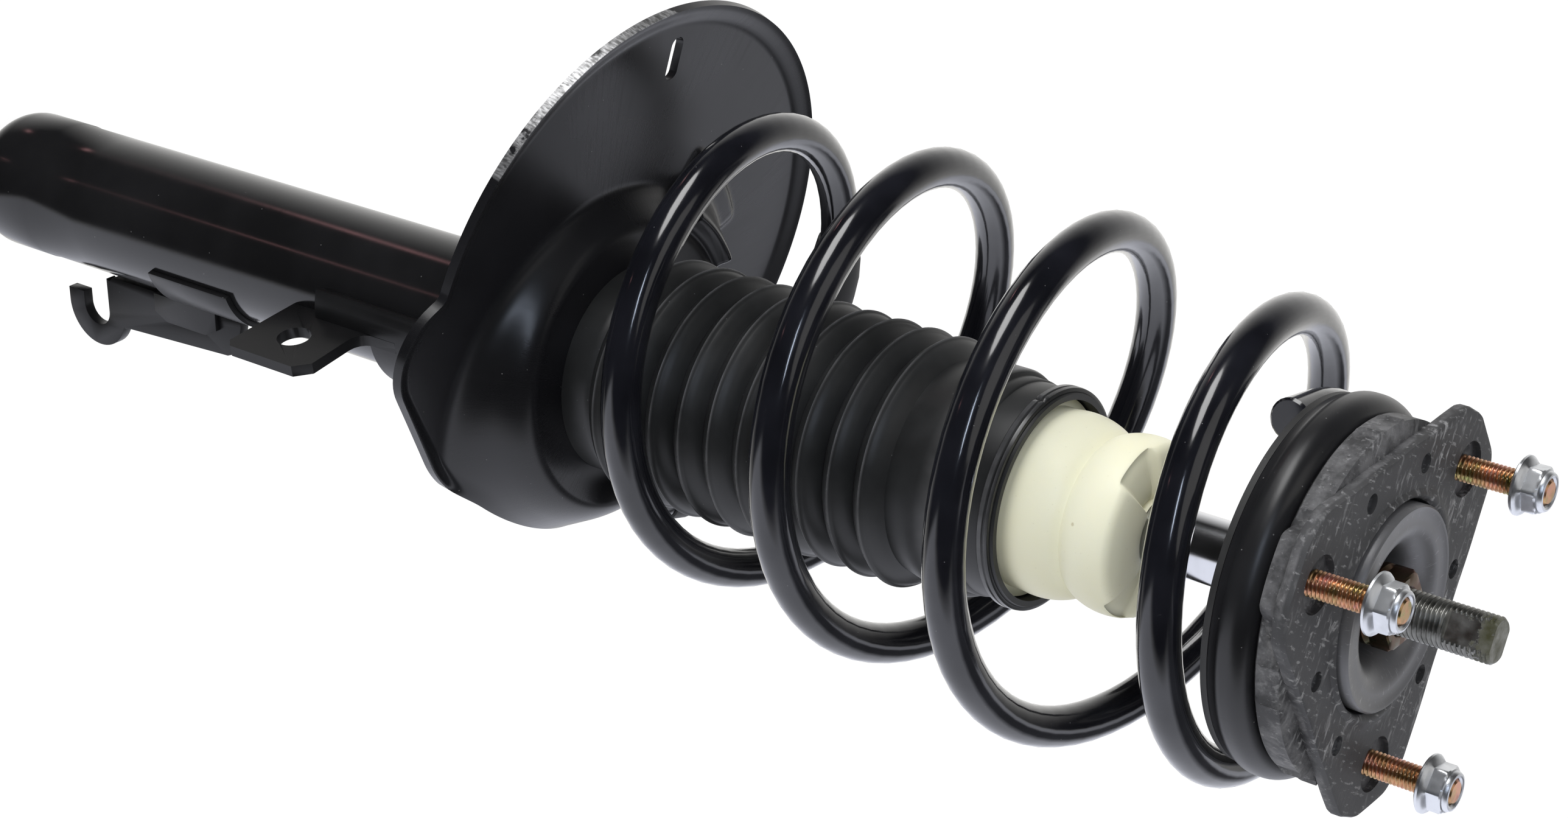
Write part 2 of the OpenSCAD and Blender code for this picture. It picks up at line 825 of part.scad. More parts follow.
module upper_seat() {
    color([0.14, 0.14, 0.155])
        rotate_extrude()
            difference() {
                union() {
                    translate([seat_bore_r, seat_z])
                        square([seat_r - seat_round - seat_bore_r, seat_h]);
                    for (z = [seat_round, seat_h - seat_round])
                        translate([seat_r - seat_round, seat_z + z])
                            circle(seat_round);
                    translate([seat_bore_r, seat_z + seat_round])
                        square([seat_r - seat_bore_r, seat_h - 2 * seat_round]);
                }
                translate([ball_r - race_w / 2 - clear, seat_z + seat_t])
                    square([race_w + 2 * clear, seat_h]);
            }
}

module upper_pad() {
    margin = 2;
    color([0.08, 0.08, 0.08])
        ring(coil_r_top - wire_r - margin, seat_r - margin, seat_z - top_pad_t, top_pad_t);
}

module race(z, play) {
    difference() {
        ring(ball_r - race_w / 2, ball_r + race_w / 2, z, race_t);
        rotate_extrude()
            translate([ball_r, ball_z])
                circle(ball_d / 2 + play, $fn = 48);
    }
}

module bearing_lower_race() {
    color([0.62, 0.62, 0.64])
        race(race_low_z, fit);
}

module bearing_upper_race() {
    color([0.62, 0.62, 0.64])
        race(race_top_z, clear);
}

module bearing_balls() {
    color([0.8, 0.8, 0.82])
        for (i = [0 : ball_n - 1])
            rotate([0, 0, 360 * i / ball_n])
                translate([ball_r, 0, ball_z])
                    sphere(d = ball_d, $fn = 32);
}

module bearing_cage() {
    color([0.75, 0.7, 0.5])
        difference() {
            ring(ball_r - cage_w / 2, ball_r + cage_w / 2, ball_z - cage_t / 2, cage_t);
            for (i = [0 : ball_n - 1])
                rotate([0, 0, 360 * i / ball_n])
                    translate([ball_r, 0, ball_z - cage_t])
                        cylinder(r = ball_d / 2 + fit, h = 2 * cage_t, $fn = 32);
        }
}

// ---- top mount ----

// the straight sides lie just inside the corners' circles, so they cross and don't touch
module plate_outline() {
    side_r = ear_r - 2 * fit;
    for (i = [0 : 2])
        rotate(120 * i)
            translate([ear_s, 0])
                circle(ear_r);
    polygon([for (i = [0 : 2], side = [-60, 60])
        ear_s * [cos(120 * i), sin(120 * i)] + side_r * [cos(120 * i + side), sin(120 * i + side)]]);
}

module mount_housing() {
    color([0.36, 0.36, 0.36])
        difference() {
            union() {
                translate([0, 0, mount_z - mount_t])
                    linear_extrude(mount_t)
                        plate_outline();
                translate([0, 0, mount_low])
                    cylinder(r = mount_body_r, h = mount_z - mount_t - mount_low + over);
            }
            translate([0, 0, mount_low - over])
                cylinder(r = core_r, h = mount_z - mount_low + 2 * over);
            for (i = [0 : 2])
                rotate([0, 0, 120 * i]) {
                    translate([stud_pcd / 2, 0, mount_low - over])
                        cylinder(d = stud_head_d + 2 * fit, h = stud_head_z + stud_head_t - mount_low + over, $fn = 64);
                    translate([stud_pcd / 2, 0, stud_head_z])
                        cylinder(d = stud_d + 2 * fit, h = mount_t + over, $fn = 64);
                    translate([stud_pcd / 2, 0, mount_z - stud_recess_h])
                        cylinder(d = stud_recess_d, h = stud_recess_h + over, $fn = 64);
                    for (side = [-1, 1])
                        rotate([0, 0, 60 + side * hole_spread])
                            translate([hole_circle_r, 0, mount_z - locating_h])
                                cylinder(d = locating_d, h = locating_h + over, $fn = 48);
                }
        }
}

module mount_core() {
    color([0.1, 0.1, 0.1]) {
        ring(sleeve_r + fit, core_r - fit, mount_low, cup_floor - mount_low);
        ring(sleeve_r + fit, seat_bore_r - clear, core_low, mount_low - core_low);
    }
}

module mount_sleeve() {
    color([0.7, 0.7, 0.72])
        ring(thread_r + fit, sleeve_r, rod_shoulder, sleeve_top - rod_shoulder);
}

module mount_cup() {
    wall_in = 7;
    floor_r = cup_r - wall_in;
    lean = 1;
    lean_h = 3;
    color([0.5, 0.51, 0.52])
        rotate_extrude()
            polygon([
                [cup_hole_r, cup_floor], [floor_r, cup_floor + cup_t / 2],
                [cup_r - lean, mount_z - lean_h], [cup_r, mount_z], [cup_r, mount_z + cup_proud],
                [cup_r - cup_t, mount_z + cup_proud], [cup_r - cup_t - lean, mount_z - lean],
                [floor_r - lean, cup_floor + cup_t * 1.6], [cup_hole_r, cup_floor + cup_t]]);
}

module mount_studs() {
    color([0.78, 0.66, 0.38])
        for (i = [0 : 2])
            rotate([0, 0, 120 * i])
                translate([stud_pcd / 2, 0, stud_head_z]) {
                    cylinder(d = stud_head_d, h = stud_head_t, $fn = 64);
                    cylinder(d = stud_d, h = mount_z + stud_len - stud_head_z, $fn = 64);
                }
}

module flange_nut() {
    flange_t = 1.6;
    collar_h = 2;
    difference() {
        union() {
            cylinder(d = nut_flange_d, h = flange_t, $fn = 64);
            translate([0, 0, flange_t])
                cylinder(d1 = nut_flange_d, d2 = nut_af, h = flange_t, $fn = 64);
            cylinder(d = nut_af / cos(30), h = nut_h - collar_h, $fn = 6);
            cylinder(d = nut_af - over, h = nut_h, $fn = 64);
        }
        translate([0, 0, -over])
            cylinder(r = stud_d / 2 + fit, h = nut_h + 2 * over, $fn = 64);
    }
}

module stud_nuts() {
    color([0.82, 0.83, 0.85])
        for (i = [0 : 2])
            rotate([0, 0, 120 * i])
                translate([stud_pcd / 2, 0, nut_z])
                    flange_nut();
}

module rod_nut() {
    washer_r = rod_nut_af / 2 + 1.5;
    color([0.8, 0.68, 0.35])
        difference() {
            translate([0, 0, sleeve_top]) {
                cylinder(r = washer_r, h = rod_washer_t);
                cylinder(d = rod_nut_af / cos(30), h = rod_nut_h, $fn = 6);
            }
            translate([0, 0, sleeve_top - over])
                cylinder(r = thread_r + fit, h = rod_nut_h + 2 * over);
        }
}

outer_tube();
pressure_tube();
base_valve();
rod_guide();
rod_seal();
spring_pan();
coil_spring();
coil_sleeve();
dust_boot();
hose_bracket();
hose_bracket_foot();
link_bracket();
bump_stop();
snap_ring();
upper_seat();
upper_pad();
bearing_lower_race();
bearing_balls();
bearing_cage();
bearing_upper_race();
mount_housing();
mount_core();
mount_sleeve();
mount_cup();
mount_studs();
stud_nuts();
rod_nut();
piston_rod();
piston();
piston_nut();
rebound_stop();
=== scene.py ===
import json
import math

import bpy
from bpy.props import FloatProperty, FloatVectorProperty, IntProperty, PointerProperty
from mathutils import Matrix, Vector

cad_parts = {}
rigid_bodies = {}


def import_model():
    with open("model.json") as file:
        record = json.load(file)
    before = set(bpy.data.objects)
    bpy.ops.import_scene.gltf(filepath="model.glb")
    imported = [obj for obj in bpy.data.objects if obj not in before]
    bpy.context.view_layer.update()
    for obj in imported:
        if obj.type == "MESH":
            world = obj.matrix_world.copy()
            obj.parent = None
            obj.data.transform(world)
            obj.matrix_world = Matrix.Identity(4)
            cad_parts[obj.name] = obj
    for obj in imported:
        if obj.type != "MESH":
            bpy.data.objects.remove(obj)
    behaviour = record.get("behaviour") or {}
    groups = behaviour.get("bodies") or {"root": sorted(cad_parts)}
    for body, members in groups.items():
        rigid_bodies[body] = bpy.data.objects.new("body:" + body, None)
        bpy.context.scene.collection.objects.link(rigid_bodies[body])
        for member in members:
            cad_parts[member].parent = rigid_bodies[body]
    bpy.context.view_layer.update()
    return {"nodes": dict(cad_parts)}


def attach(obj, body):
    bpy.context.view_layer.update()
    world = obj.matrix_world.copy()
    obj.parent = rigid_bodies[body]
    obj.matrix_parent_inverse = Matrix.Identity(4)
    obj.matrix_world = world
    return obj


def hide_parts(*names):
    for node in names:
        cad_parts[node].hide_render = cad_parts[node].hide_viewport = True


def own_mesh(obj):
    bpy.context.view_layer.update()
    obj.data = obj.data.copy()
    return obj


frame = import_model()

bl_info = {
    "name": "Strut Assembly",
    "version": (1, 0, 0),
    "blender": (4, 5, 0),
    "location": "3D Viewport > Sidebar > Strut",
    "description": "Dresses the packed strut with its paint, rubber, zinc and chrome pieces",
    "category": "Object",
}

MM = 0.001


# ---- sizes and colours ----

def length(name, mm, about):
    return FloatProperty(name=name, description=about, default=mm * MM, unit="LENGTH", precision=4)


def colour(name, rgb, about):
    return FloatVectorProperty(
        name=name, description=about, default=rgb, subtype="COLOR", size=3, min=0, max=1)


class DamperSizes(bpy.types.PropertyGroup):
    clamp_r: length("Clamp radius", 25.5, "Radius of the tube's calibrated lower end")
    clamp_top: length("Clamp top", 34, "Height at which the calibrated end stops")
    tube_r: length("Tube radius", 25.2, "Outer radius of the tube")
    tube_in: length("Tube bore", 22.6, "Inner radius of the tube")
    tube_len: length("Tube length", 324, "Height of the tube's rolled edge")
    end_round: length("End round", 13, "Radius of the closed lower corner")
    rod_r: length("Rod radius", 10, "Radius of the chromed rod")
    rod_low: length("Rod start", 273.7, "Height of the rod's lower shoulder")
    rod_shoulder: length("Rod shoulder", 556, "Height at which the thread starts")
    rod_top: length("Rod end", 613.3, "Height of the rod's end")
    thread_r: length("Thread radius", 7, "Outer radius of the rod's thread")
    flat_start: length("Flats start", 598.3, "Height at which the two flats start")
    flat_half: length("Half flats", 5, "Half the width across the flats")


class SpringSizes(bpy.types.PropertyGroup):
    wire_r: length("Wire radius", 6.3, "Radius of the spring's wire")
    coil_r: length("Middle radius", 73.1, "Mean radius of the middle turns")
    low_r: length("Lower radius", 65.5, "Mean radius at the lower end")
    top_r: length("Upper radius", 49.3, "Mean radius at the upper end")
    low_x: length("Lower middle X", -3.3, "Place of the lower middle along X")
    low_y: length("Lower middle Y", -21.3, "Place of the lower middle along Y")
    top_x: length("Upper middle X", -5.9, "Place of the upper middle along X")
    bow: length("Bow", 7.4, "Bow of the spring's middle")
    low_z: length("Crown", 304, "Height of the crown that the spring stands on")
    top_z: length("Top", 550.95, "Height of the pad that the spring meets")
    sleeve_wall: length("Sleeve wall", 2.5, "Wall of the rubber sleeve")
    turns: FloatProperty(name="Turns", description="Number of turns", default=4.5, min=2, max=8)
    sleeve_turns: FloatProperty(
        name="Sleeve turns", description="Turns that the sleeve covers", default=0.29, min=0.1, max=1)


class PanSizes(bpy.types.PropertyGroup):
    rim_r: length("Rim radius", 94.2, "Radius of the pan's round edge")
    mid_x: length("Middle X", 0.4, "Place of the pan's middle along X")
    mid_y: length("Middle Y", -30.9, "Place of the pan's middle along Y")
    floor_z: length("Floor", 289.8, "Height of the floor at the pan's middle")
    sheet: length("Sheet", 3, "Thickness of the sheet")
    rim_h: length("Rim height", 3, "Height of the raised rim")
    crown_r: length("Crown radius", 50, "Radius of the flat crown")
    crown_z: length("Crown height", 304, "Height of the crown")
    bore_r: length("Bore", 25.25, "Radius of the bore round the tube")
    neck_h: length("Neck", 16, "Height of the neck that grips the tube")
    step_r: length("Step reach", 70, "Reach of the raised step")
    step_h: length("Step height", 4, "Height of the step above the crown")
    slot_out: length("Slot place", 75.5, "Distance of the drain slot from the pan's middle")
    slot_long: length("Slot length", 15, "Length of the drain slot")
    slot_wide: length("Slot width", 5.8, "Width of the drain slot")


class BootSizes(bpy.types.PropertyGroup):
    ribs: IntProperty(name="Ribs", description="Number of ribs", default=10, min=4, max=14)
    pitch: length("Pitch", 11.5, "Rise of one rib")
    crest_r: length("Crest radius", 40, "Radius over the ribs")
    valley_r: length("Valley radius", 34, "Radius between the ribs")
    wall: length("Wall", 1.8, "Wall of the boot")
    foot_z: length("Foot", 304.05, "Height of the boot's foot")
    ribs_z: length("Ribs start", 315.25, "Height at which the ribs start")
    shoulder_r: length("Shoulder", 36, "Radius of the shoulder")
    cuff_z: length("Cuff", 454.55, "Height of the cuff")
    cuff_r: length("Cuff radius", 33.5, "Radius of the cuff")
    top_z: length("Top", 468.55, "Height of the boot's upper edge")
    first_r: length("First lobe radius", 28.8, "Radius of the bump stop's lobe at the cuff")
    lobe_r: length("Second lobe radius", 27.6, "Radius of the bump stop's second lobe")
    waist_r: length("Waist radius", 23.4, "Radius of the bump stop's waist")
    lobe_h: length("Lobe height", 17, "Height of one lobe")
    nose_z: length("Nose", 505.5, "Height of the bump stop's nose")
    root_z: length("Root", 442.55, "Height of the bump stop's root")


class MountSizes(bpy.types.PropertyGroup):
    seat_r: length("Seat radius", 57, "Radius of the upper spring seat")
    seat_bore: length("Seat bore", 29, "Bore radius of the upper spring seat")
    seat_z: length("Seat underside", 553, "Height of the seat's underside")
    seat_top: length("Seat top", 566, "Height of the seat's rim")
    face_z: length("Face", 579.6, "Height of the face that meets the car")
    low_z: length("Body underside", 566.3, "Height of the mount's underside")
    body_r: length("Body radius", 53, "Radius of the round body under the plate")
    corner: length("Corner reach", 66, "Reach of the plate's corners")
    side: length("Side reach", 46.5, "Distance from the axis to the plate's sides")
    core_r: length("Core radius", 31.6, "Radius of the opening round the cup")
    cup_r: length("Cup radius", 30.6, "Radius of the cup")
    cup_hole: length("Cup hole", 15.5, "Radius of the cup's hole")
    cup_top: length("Cup edge", 583, "Height of the cup's edge")
    cup_floor: length("Cup floor", 568.6, "Height of the cup's floor")
    stud_circle: length("Stud circle", 51.3, "Radius of the circle of studs")
    stud_r: length("Stud radius", 4, "Radius of the studs")
    stud_top: length("Stud end", 605.2, "Height of the studs' ends")
    nut_z: length("Nut", 596.2, "Height of the nuts' flange")
    flange_r: length("Flange radius", 8.95, "Radius of the nuts' flange")
    nut_af: length("Nut flats", 13, "Width across the flats of the nuts")
    rod_nut_z: length("Rod nut", 575.6, "Height of the rod nut's washer")
    rod_nut_af: length("Rod nut flats", 21, "Width across the flats of the rod nut")


class StrutColours(bpy.types.PropertyGroup):
    enamel: colour("Enamel", (0.006, 0.006, 0.0065), "Black stove enamel of the tube and brackets")
    pan: colour("Pan enamel", (0.005, 0.005, 0.006), "Glossy black enamel of the pan")
    spring: colour("Spring coat", (0.004, 0.0042, 0.006), "Powder coat of the spring")
    seat: colour("Seat enamel", (0.007, 0.007, 0.008), "Enamel of the upper seat")
    boot: colour("Boot rubber", (0.012, 0.0125, 0.013), "Rubber of the boot")
    mount: colour("Mount rubber", (0.04, 0.04, 0.042), "Dusty rubber of the mount")
    foam: colour("Bump stop", (0.85, 0.845, 0.67), "Ivory polyurethane of the bump stop")
    gold: colour("Yellow zinc", (0.54, 0.35, 0.17), "Yellow passivation of the studs")
    zinc: colour("Bright zinc", (0.78, 0.8, 0.83), "Clear passivation of the nuts")
    chrome: colour("Chrome", (0.72, 0.73, 0.76), "Hard chrome of the rod")
    cup: colour("Cup", (0.12, 0.12, 0.125), "Phosphated steel of the cup")


class Millimetres:
    """Reads a settings group with its lengths in millimetres."""

    def __init__(self, group):
        self.group = group

    def __getattr__(self, name):
        value = getattr(self.group, name)
        is_length = self.group.bl_rna.properties[name].unit == "LENGTH"
        return value / MM if is_length else value


# ---- shader maths ----

class Value:
    """A node's output that adds Math nodes when it is calculated with."""

    def __init__(self, nodes, socket):
        self.nodes = nodes
        self.socket = socket

    def calc(self, operation, a, b=0.0, c=0.0):
        node = self.nodes.node("ShaderNodeMath", {"operation": operation}, {0: a, 1: b, 2: c})
        return Value(self.nodes, node.outputs[0])

    def __add__(self, other):
        return self.calc("ADD", self, other)

    def __radd__(self, other):
        return self.calc("ADD", other, self)

    def __sub__(self, other):
        return self.calc("SUBTRACT", self, other)

    def __rsub__(self, other):
        return self.calc("SUBTRACT", other, self)

    def __mul__(self, other):
        return self.calc("MULTIPLY", self, other)

    def __rmul__(self, other):
        return self.calc("MULTIPLY", other, self)

    def __pow__(self, other):
        return self.calc("POWER", self, other)

    def over(self, edge, soft=0.05):
        """0 below the edge and 1 above it, with a soft step."""
        return self.ramp(edge - soft, edge + soft)

    def near(self, middle, reach):
        """1 at the middle, falling to 0 at the reach on both sides."""
        gap = self - middle
        return gap.calc("ABSOLUTE", gap).ramp(0.0, reach, 1.0, 0.0)

    def ramp(self, low, high, out_low=0.0, out_high=1.0):
        node = self.nodes.node(
            "ShaderNodeMapRange", {"clamp": True},
            {0: self, 1: low, 2: high, 3: out_low, 4: out_high})
        return Value(self.nodes, node.outputs[0])


class Nodes:
    """A node tree while its nodes are being made."""

    def __init__(self, tree):
        self.tree = tree
        tree.nodes.clear()

    def node(self, kind, settings=None, inputs=None):
        node = self.tree.nodes.new(kind)
        for name, value in (settings or {}).items():
            if name == "stops":
                ramp = node.color_ramp.elements
                while len(ramp) < len(value):
                    ramp.new(1.0)
                for stop, (position, rgb) in zip(ramp, value):
                    stop.position = position
                    stop.color = (*rgb, 1.0)
            else:
                setattr(node, name, value)
        for name, value in (inputs or {}).items():
            self.set(node.inputs[name], value)
        return node

    def set(self, socket, value):
        if isinstance(value, Value):
            value = value.socket
        if isinstance(value, bpy.types.NodeSocket):
            self.tree.links.new(value, socket)
        elif socket.type == "RGBA":
            socket.default_value = (*value, 1.0) if len(value) == 3 else value
        else:
            socket.default_value = value

    def mix(self, factor, a, b):
        node = self.node("ShaderNodeMix", {"data_type": "RGBA"}, {0: factor, 6: a, 7: b})
        return node.outputs[2]

    def along(self, way, axis):
        """How far a direction runs along an axis."""
        node = self.node("ShaderNodeVectorMath", {"operation": "DOT_PRODUCT"}, {0: way, 1: axis})
        return Value(self, node.outputs["Value"])


class Finish(Nodes):
    """A material while its nodes are being made."""

    def __init__(self, name):
        self.material = bpy.data.materials.new(name)
        self.material.use_nodes = True
        super().__init__(self.material.node_tree)
        self.surface = self.node("ShaderNodeBsdfPrincipled")
        self.node("ShaderNodeOutputMaterial", {}, {"Surface": self.surface.outputs[0]})
        self.place = self.node("ShaderNodeTexCoord").outputs["Object"]

    def shader(self, **values):
        for name, value in values.items():
            self.set(self.surface.inputs[name.replace("_", " ")], value)

    def axes(self):
        parts = self.node("ShaderNodeSeparateXYZ", {}, {0: self.place})
        return [Value(self, parts.outputs[k]) for k in range(3)]

    def attribute(self, name):
        return Value(self, self.node("ShaderNodeAttribute", {"attribute_name": name}).outputs["Fac"])

    def mapped(self, scale, turn=(0.0, 0.0, 0.0), shift=(0.0, 0.0, 0.0)):
        return self.node("ShaderNodeMapping", {}, {
            "Vector": self.place, "Scale": scale, "Rotation": turn, "Location": shift}).outputs[0]

    def polar(self, around, outward, up):
        """A place that runs round the axis, outwards and along it, at three scales."""
        x, y, z = self.axes()
        angle = y.calc("ARCTAN2", y, x)
        radius = (x * x + y * y) ** 0.5
        return self.node("ShaderNodeCombineXYZ", {}, {
            0: angle * around, 1: radius * outward, 2: z * up}).outputs[0]

    def noise(self, scale, detail=3.0, roughness=0.5, place=None):
        node = self.node("ShaderNodeTexNoise", {}, {
            "Vector": place or self.place, "Scale": scale, "Detail": detail, "Roughness": roughness})
        return Value(self, node.outputs["Fac"])

    def specks(self, scale, size, share):
        """Small dots, of which only a share shows."""
        node = self.node("ShaderNodeTexVoronoi", {}, {"Vector": self.place, "Scale": scale})
        near = 1.0 - Value(self, node.outputs["Distance"]).ramp(size * 0.5, size)
        chosen = Value(self, self.node("ShaderNodeSeparateColor", {}, {
            0: node.outputs["Color"]}).outputs[0]).ramp(1.0 - share, 1.001 - share)
        return near * chosen

    def bump(self, height, depth_mm, strength=1.0, below=None):
        inputs = {"Height": height, "Distance": depth_mm * MM, "Strength": strength}
        if below is not None:
            inputs["Normal"] = below
        return self.node("ShaderNodeBump", {}, inputs).outputs[0]


def shade(rgb, factor):
    return tuple(min(1.0, c * factor) for c in rgb)


# ---- finishes ----

def enamel(name, rgb, rough, dust=0.25, peel=1.0, gloss=0.55):
    """Black stove enamel: orange peel, faint clouding, settled dust and small marks."""
    f = Finish(name)
    clouds = f.noise(28, 4)
    fine = f.noise(900, 2)
    marks = f.noise(130, 4, 0.6, f.mapped((1.0, 1.0, 0.12))).over(0.7, 0.03)
    dots = f.specks(330, 0.09, dust)
    colour = f.mix(clouds.ramp(0.35, 0.75), rgb, shade(rgb, 1.9))
    colour = f.mix(dots * 0.5, colour, (0.2, 0.2, 0.2))
    f.shader(Base_Color=colour,
             Roughness=clouds.ramp(0.3, 0.7, rough * 0.85, rough * 1.2) + marks * 0.12 + dots * 0.2,
             Normal=f.bump(fine * 0.3 + f.noise(260, 3) + dots * 0.6, 0.03 * peel, 0.55))
    f.surface.inputs["Specular IOR Level"].default_value = gloss
    return f.material


def pan_enamel(rgb):
    """Enamel with pressing marks round the dome and steel worn bare along the rim."""
    f = Finish("pan enamel")
    clouds = f.noise(20, 4)
    drawn = f.noise(1.0, 3, 0.6, f.polar(90, 60, 60))
    dots = f.specks(300, 0.08, 0.16)
    scratches = f.noise(1.0, 2, 0.5, f.polar(150, 400, 400)).ramp(0.35, 0.65)
    bare = (f.attribute("bare") * f.noise(240, 4).ramp(0.3, 0.5, 0.45, 1.0)).over(0.5, 0.12)
    colour = f.mix(clouds.ramp(0.35, 0.75), rgb, shade(rgb, 2.0))
    colour = f.mix(dots * 0.5, colour, (0.22, 0.22, 0.22))
    colour = f.mix(bare, colour, f.mix(scratches, (0.2, 0.2, 0.2), (0.62, 0.62, 0.63)))
    f.shader(Base_Color=colour, Metallic=bare,
             Roughness=clouds.ramp(0.3, 0.7, 0.24, 0.32) + drawn.ramp(0.5, 0.75, 0.0, 0.05) + bare * 0.15,
             Normal=f.bump(drawn * 0.5 + f.noise(500, 2) * 0.2 + bare * scratches * 2.0, 0.025, 0.45))
    return f.material


def spring_coat(rgb):
    """Glossy powder coat on wound wire, with faint ripples and a few rubbed points."""
    f = Finish("spring coat")
    ripple = f.noise(55, 3)
    grain = f.noise(700, 2)
    rubbed = f.noise(90, 5, 0.7).over(0.74, 0.02)
    dots = f.specks(420, 0.07, 0.14)
    colour = f.mix(ripple.ramp(0.3, 0.8), rgb, shade(rgb, 2.2))
    colour = f.mix(dots * 0.5 + rubbed * 0.15, colour, (0.3, 0.3, 0.31))
    f.shader(Base_Color=colour,
             Roughness=ripple.ramp(0.3, 0.7, 0.13, 0.2) + rubbed * 0.2 + dots * 0.2,
             Coat_Weight=ripple.ramp(0.2, 0.8, 0.5, 0.8),
             Normal=f.bump(ripple * 2.0 + grain * 0.2, 0.05, 0.5))
    f.surface.inputs["Coat Roughness"].default_value = 0.08
    return f.material


def rubber(name, rgb, rough, wear_and_sheen=0.4):
    """Moulded rubber with a matte skin, bloom and a painted highlight along the crests."""
    f = Finish(name)
    bloom = f.noise(45, 5, 0.6)
    grain = f.noise(1400, 2)
    crest = f.attribute("crest") * f.noise(1.0, 2, 0.5, f.polar(6, 90, 90)).ramp(0.25, 0.7, 0.35, 1.0)
    dots = f.specks(380, 0.08, 0.12)
    colour = f.mix(bloom.ramp(0.4, 0.75), rgb, shade(rgb, 1.8))
    # the paler colour along the marked crests is a painted highlight
    colour = f.mix(crest * wear_and_sheen + dots * 0.4, colour, (0.22, 0.22, 0.23))
    f.shader(Base_Color=colour, Roughness=bloom.ramp(0.3, 0.7, rough * 0.9, rough * 1.1) - crest * 0.15,
             Normal=f.bump(grain * 0.4 + bloom, 0.035, 0.5))
    return f.material


def scuffed_rubber(rgb):
    """Dusty rubber over steel, with pale directional scuffs and talc in its corners."""
    f = Finish("scuffed mount rubber")
    bloom = f.noise(32, 6, 0.65)
    streak = f.noise(620, 3, 0.6, f.mapped((1.0, 0.3, 0.6), (0.0, 0.0, 0.62)))
    cross = f.noise(780, 3, 0.6, f.mapped((0.3, 1.0, 0.6), (0.0, 0.0, 0.3), (3.0, 1.0, 0.0)))
    patch = f.noise(48, 3, 0.6).ramp(0.42, 0.62)
    scuff = streak.ramp(0.53, 0.66) * patch + cross.ramp(0.6, 0.69) * 0.7
    talc = f.noise(95, 5, 0.7).ramp(0.42, 0.64) * (1.0 - f.axes()[2].ramp(0.5775, 0.5782))
    colour = f.mix(bloom.ramp(0.3, 0.7), shade(rgb, 0.6), shade(rgb, 1.25))
    colour = f.mix(scuff * 0.6, colour, (0.3, 0.3, 0.305))
    colour = f.mix(talc * 0.45, colour, (0.2, 0.198, 0.205))
    f.shader(Base_Color=colour, Roughness=bloom.ramp(0.3, 0.7, 0.5, 0.68) + scuff * 0.1,
             Normal=f.bump(bloom + streak * 0.5 + cross * 0.3 + f.noise(900, 2) * 0.3, 0.12, 0.6))
    return f.material


def ivory_foam(rgb):
    """Ivory polyurethane: waxy skin, faint pores and yellower hollows."""
    f = Finish("ivory foam")
    tone = f.noise(24, 4)
    pores = f.specks(520, 0.16, 0.3)
    stains = f.specks(70, 0.05, 0.2)
    colour = f.mix(tone.ramp(0.3, 0.75), rgb, (0.86, 0.83, 0.6))
    colour = f.mix(pores * 0.12 + stains * 0.5, colour, (0.4, 0.33, 0.16))
    f.shader(Base_Color=colour, Roughness=tone.ramp(0.3, 0.7, 0.38, 0.5),
             Normal=f.bump(f.noise(160, 3) - pores * 0.4, 0.06, 0.5))
    f.surface.inputs["Subsurface Weight"].default_value = 0.12
    f.surface.inputs["Subsurface Radius"].default_value = (0.004, 0.0035, 0.002)
    return f.material


def yellow_zinc(name, rgb, painted_shade_scale=1.0):
    """Yellow passivated zinc with its drift from gold to pink and green; its last argument darkens the film as
    painted shade.
    """
    f = Finish(name)
    drift = f.noise(130, 4, 0.6)
    # the film's colours are scaled by the last argument, which darkens them as painted shade
    film = f.node("ShaderNodeValToRGB", {"stops": [
        (0.3, shade((0.36, 0.4, 0.16), painted_shade_scale)), (0.43, shade(rgb, painted_shade_scale)),
        (0.55, shade((0.72, 0.38, 0.22), painted_shade_scale)), (0.68, shade((0.7, 0.33, 0.3), painted_shade_scale))]},
        {0: drift}).outputs[0]
    dirt = f.noise(300, 3).ramp(0.5, 0.8)
    f.shader(Base_Color=f.mix(dirt * 0.35, film, (0.12, 0.08, 0.04)), Metallic=1.0,
             Roughness=drift.ramp(0.3, 0.7, 0.25, 0.36) + dirt * 0.1,
             Normal=f.bump(f.noise(900, 3), 0.02, 0.5))
    return f.material


def bright_metal(name, rgb, rough, waves=60.0, depth=0.05, grey=0.5):
    """Plated or machined metal with tool marks round the axis and a slightly uneven face."""
    f = Finish(name)
    wave = f.noise(waves, 3)
    lathe = f.noise(1.0, 2, 0.5, f.polar(3, 4000, 4000))
    stain = f.noise(120, 5, 0.6).ramp(0.5, 0.8)
    f.shader(Base_Color=f.mix(stain * grey, rgb, shade(rgb, 0.5)), Metallic=1.0,
             Roughness=wave.ramp(0.3, 0.7, rough * 0.8, rough * 1.25) + stain * 0.08,
             Normal=f.bump(wave * 2.0 + lathe * 0.15, depth, 0.5))
    return f.material


def cup_steel(rgb):
    """Phosphated pressed steel with drawn rings and a greyer rubbed edge."""
    f = Finish("cup steel")
    clouds = f.noise(70, 4)
    rings = f.noise(1.0, 2, 0.5, f.polar(2, 1500, 900))
    rubbed = f.noise(1.0, 3, 0.6, f.polar(30, 300, 300)).ramp(0.62, 0.75)
    f.shader(Base_Color=f.mix(rubbed * 0.4, f.mix(clouds, rgb, shade(rgb, 1.5)), (0.4, 0.4, 0.41)),
             Metallic=0.55, Roughness=clouds.ramp(0.3, 0.7, 0.34, 0.46) - rubbed * 0.08,
             Normal=f.bump(rings + clouds * 0.5, 0.03, 0.5))
    return f.material


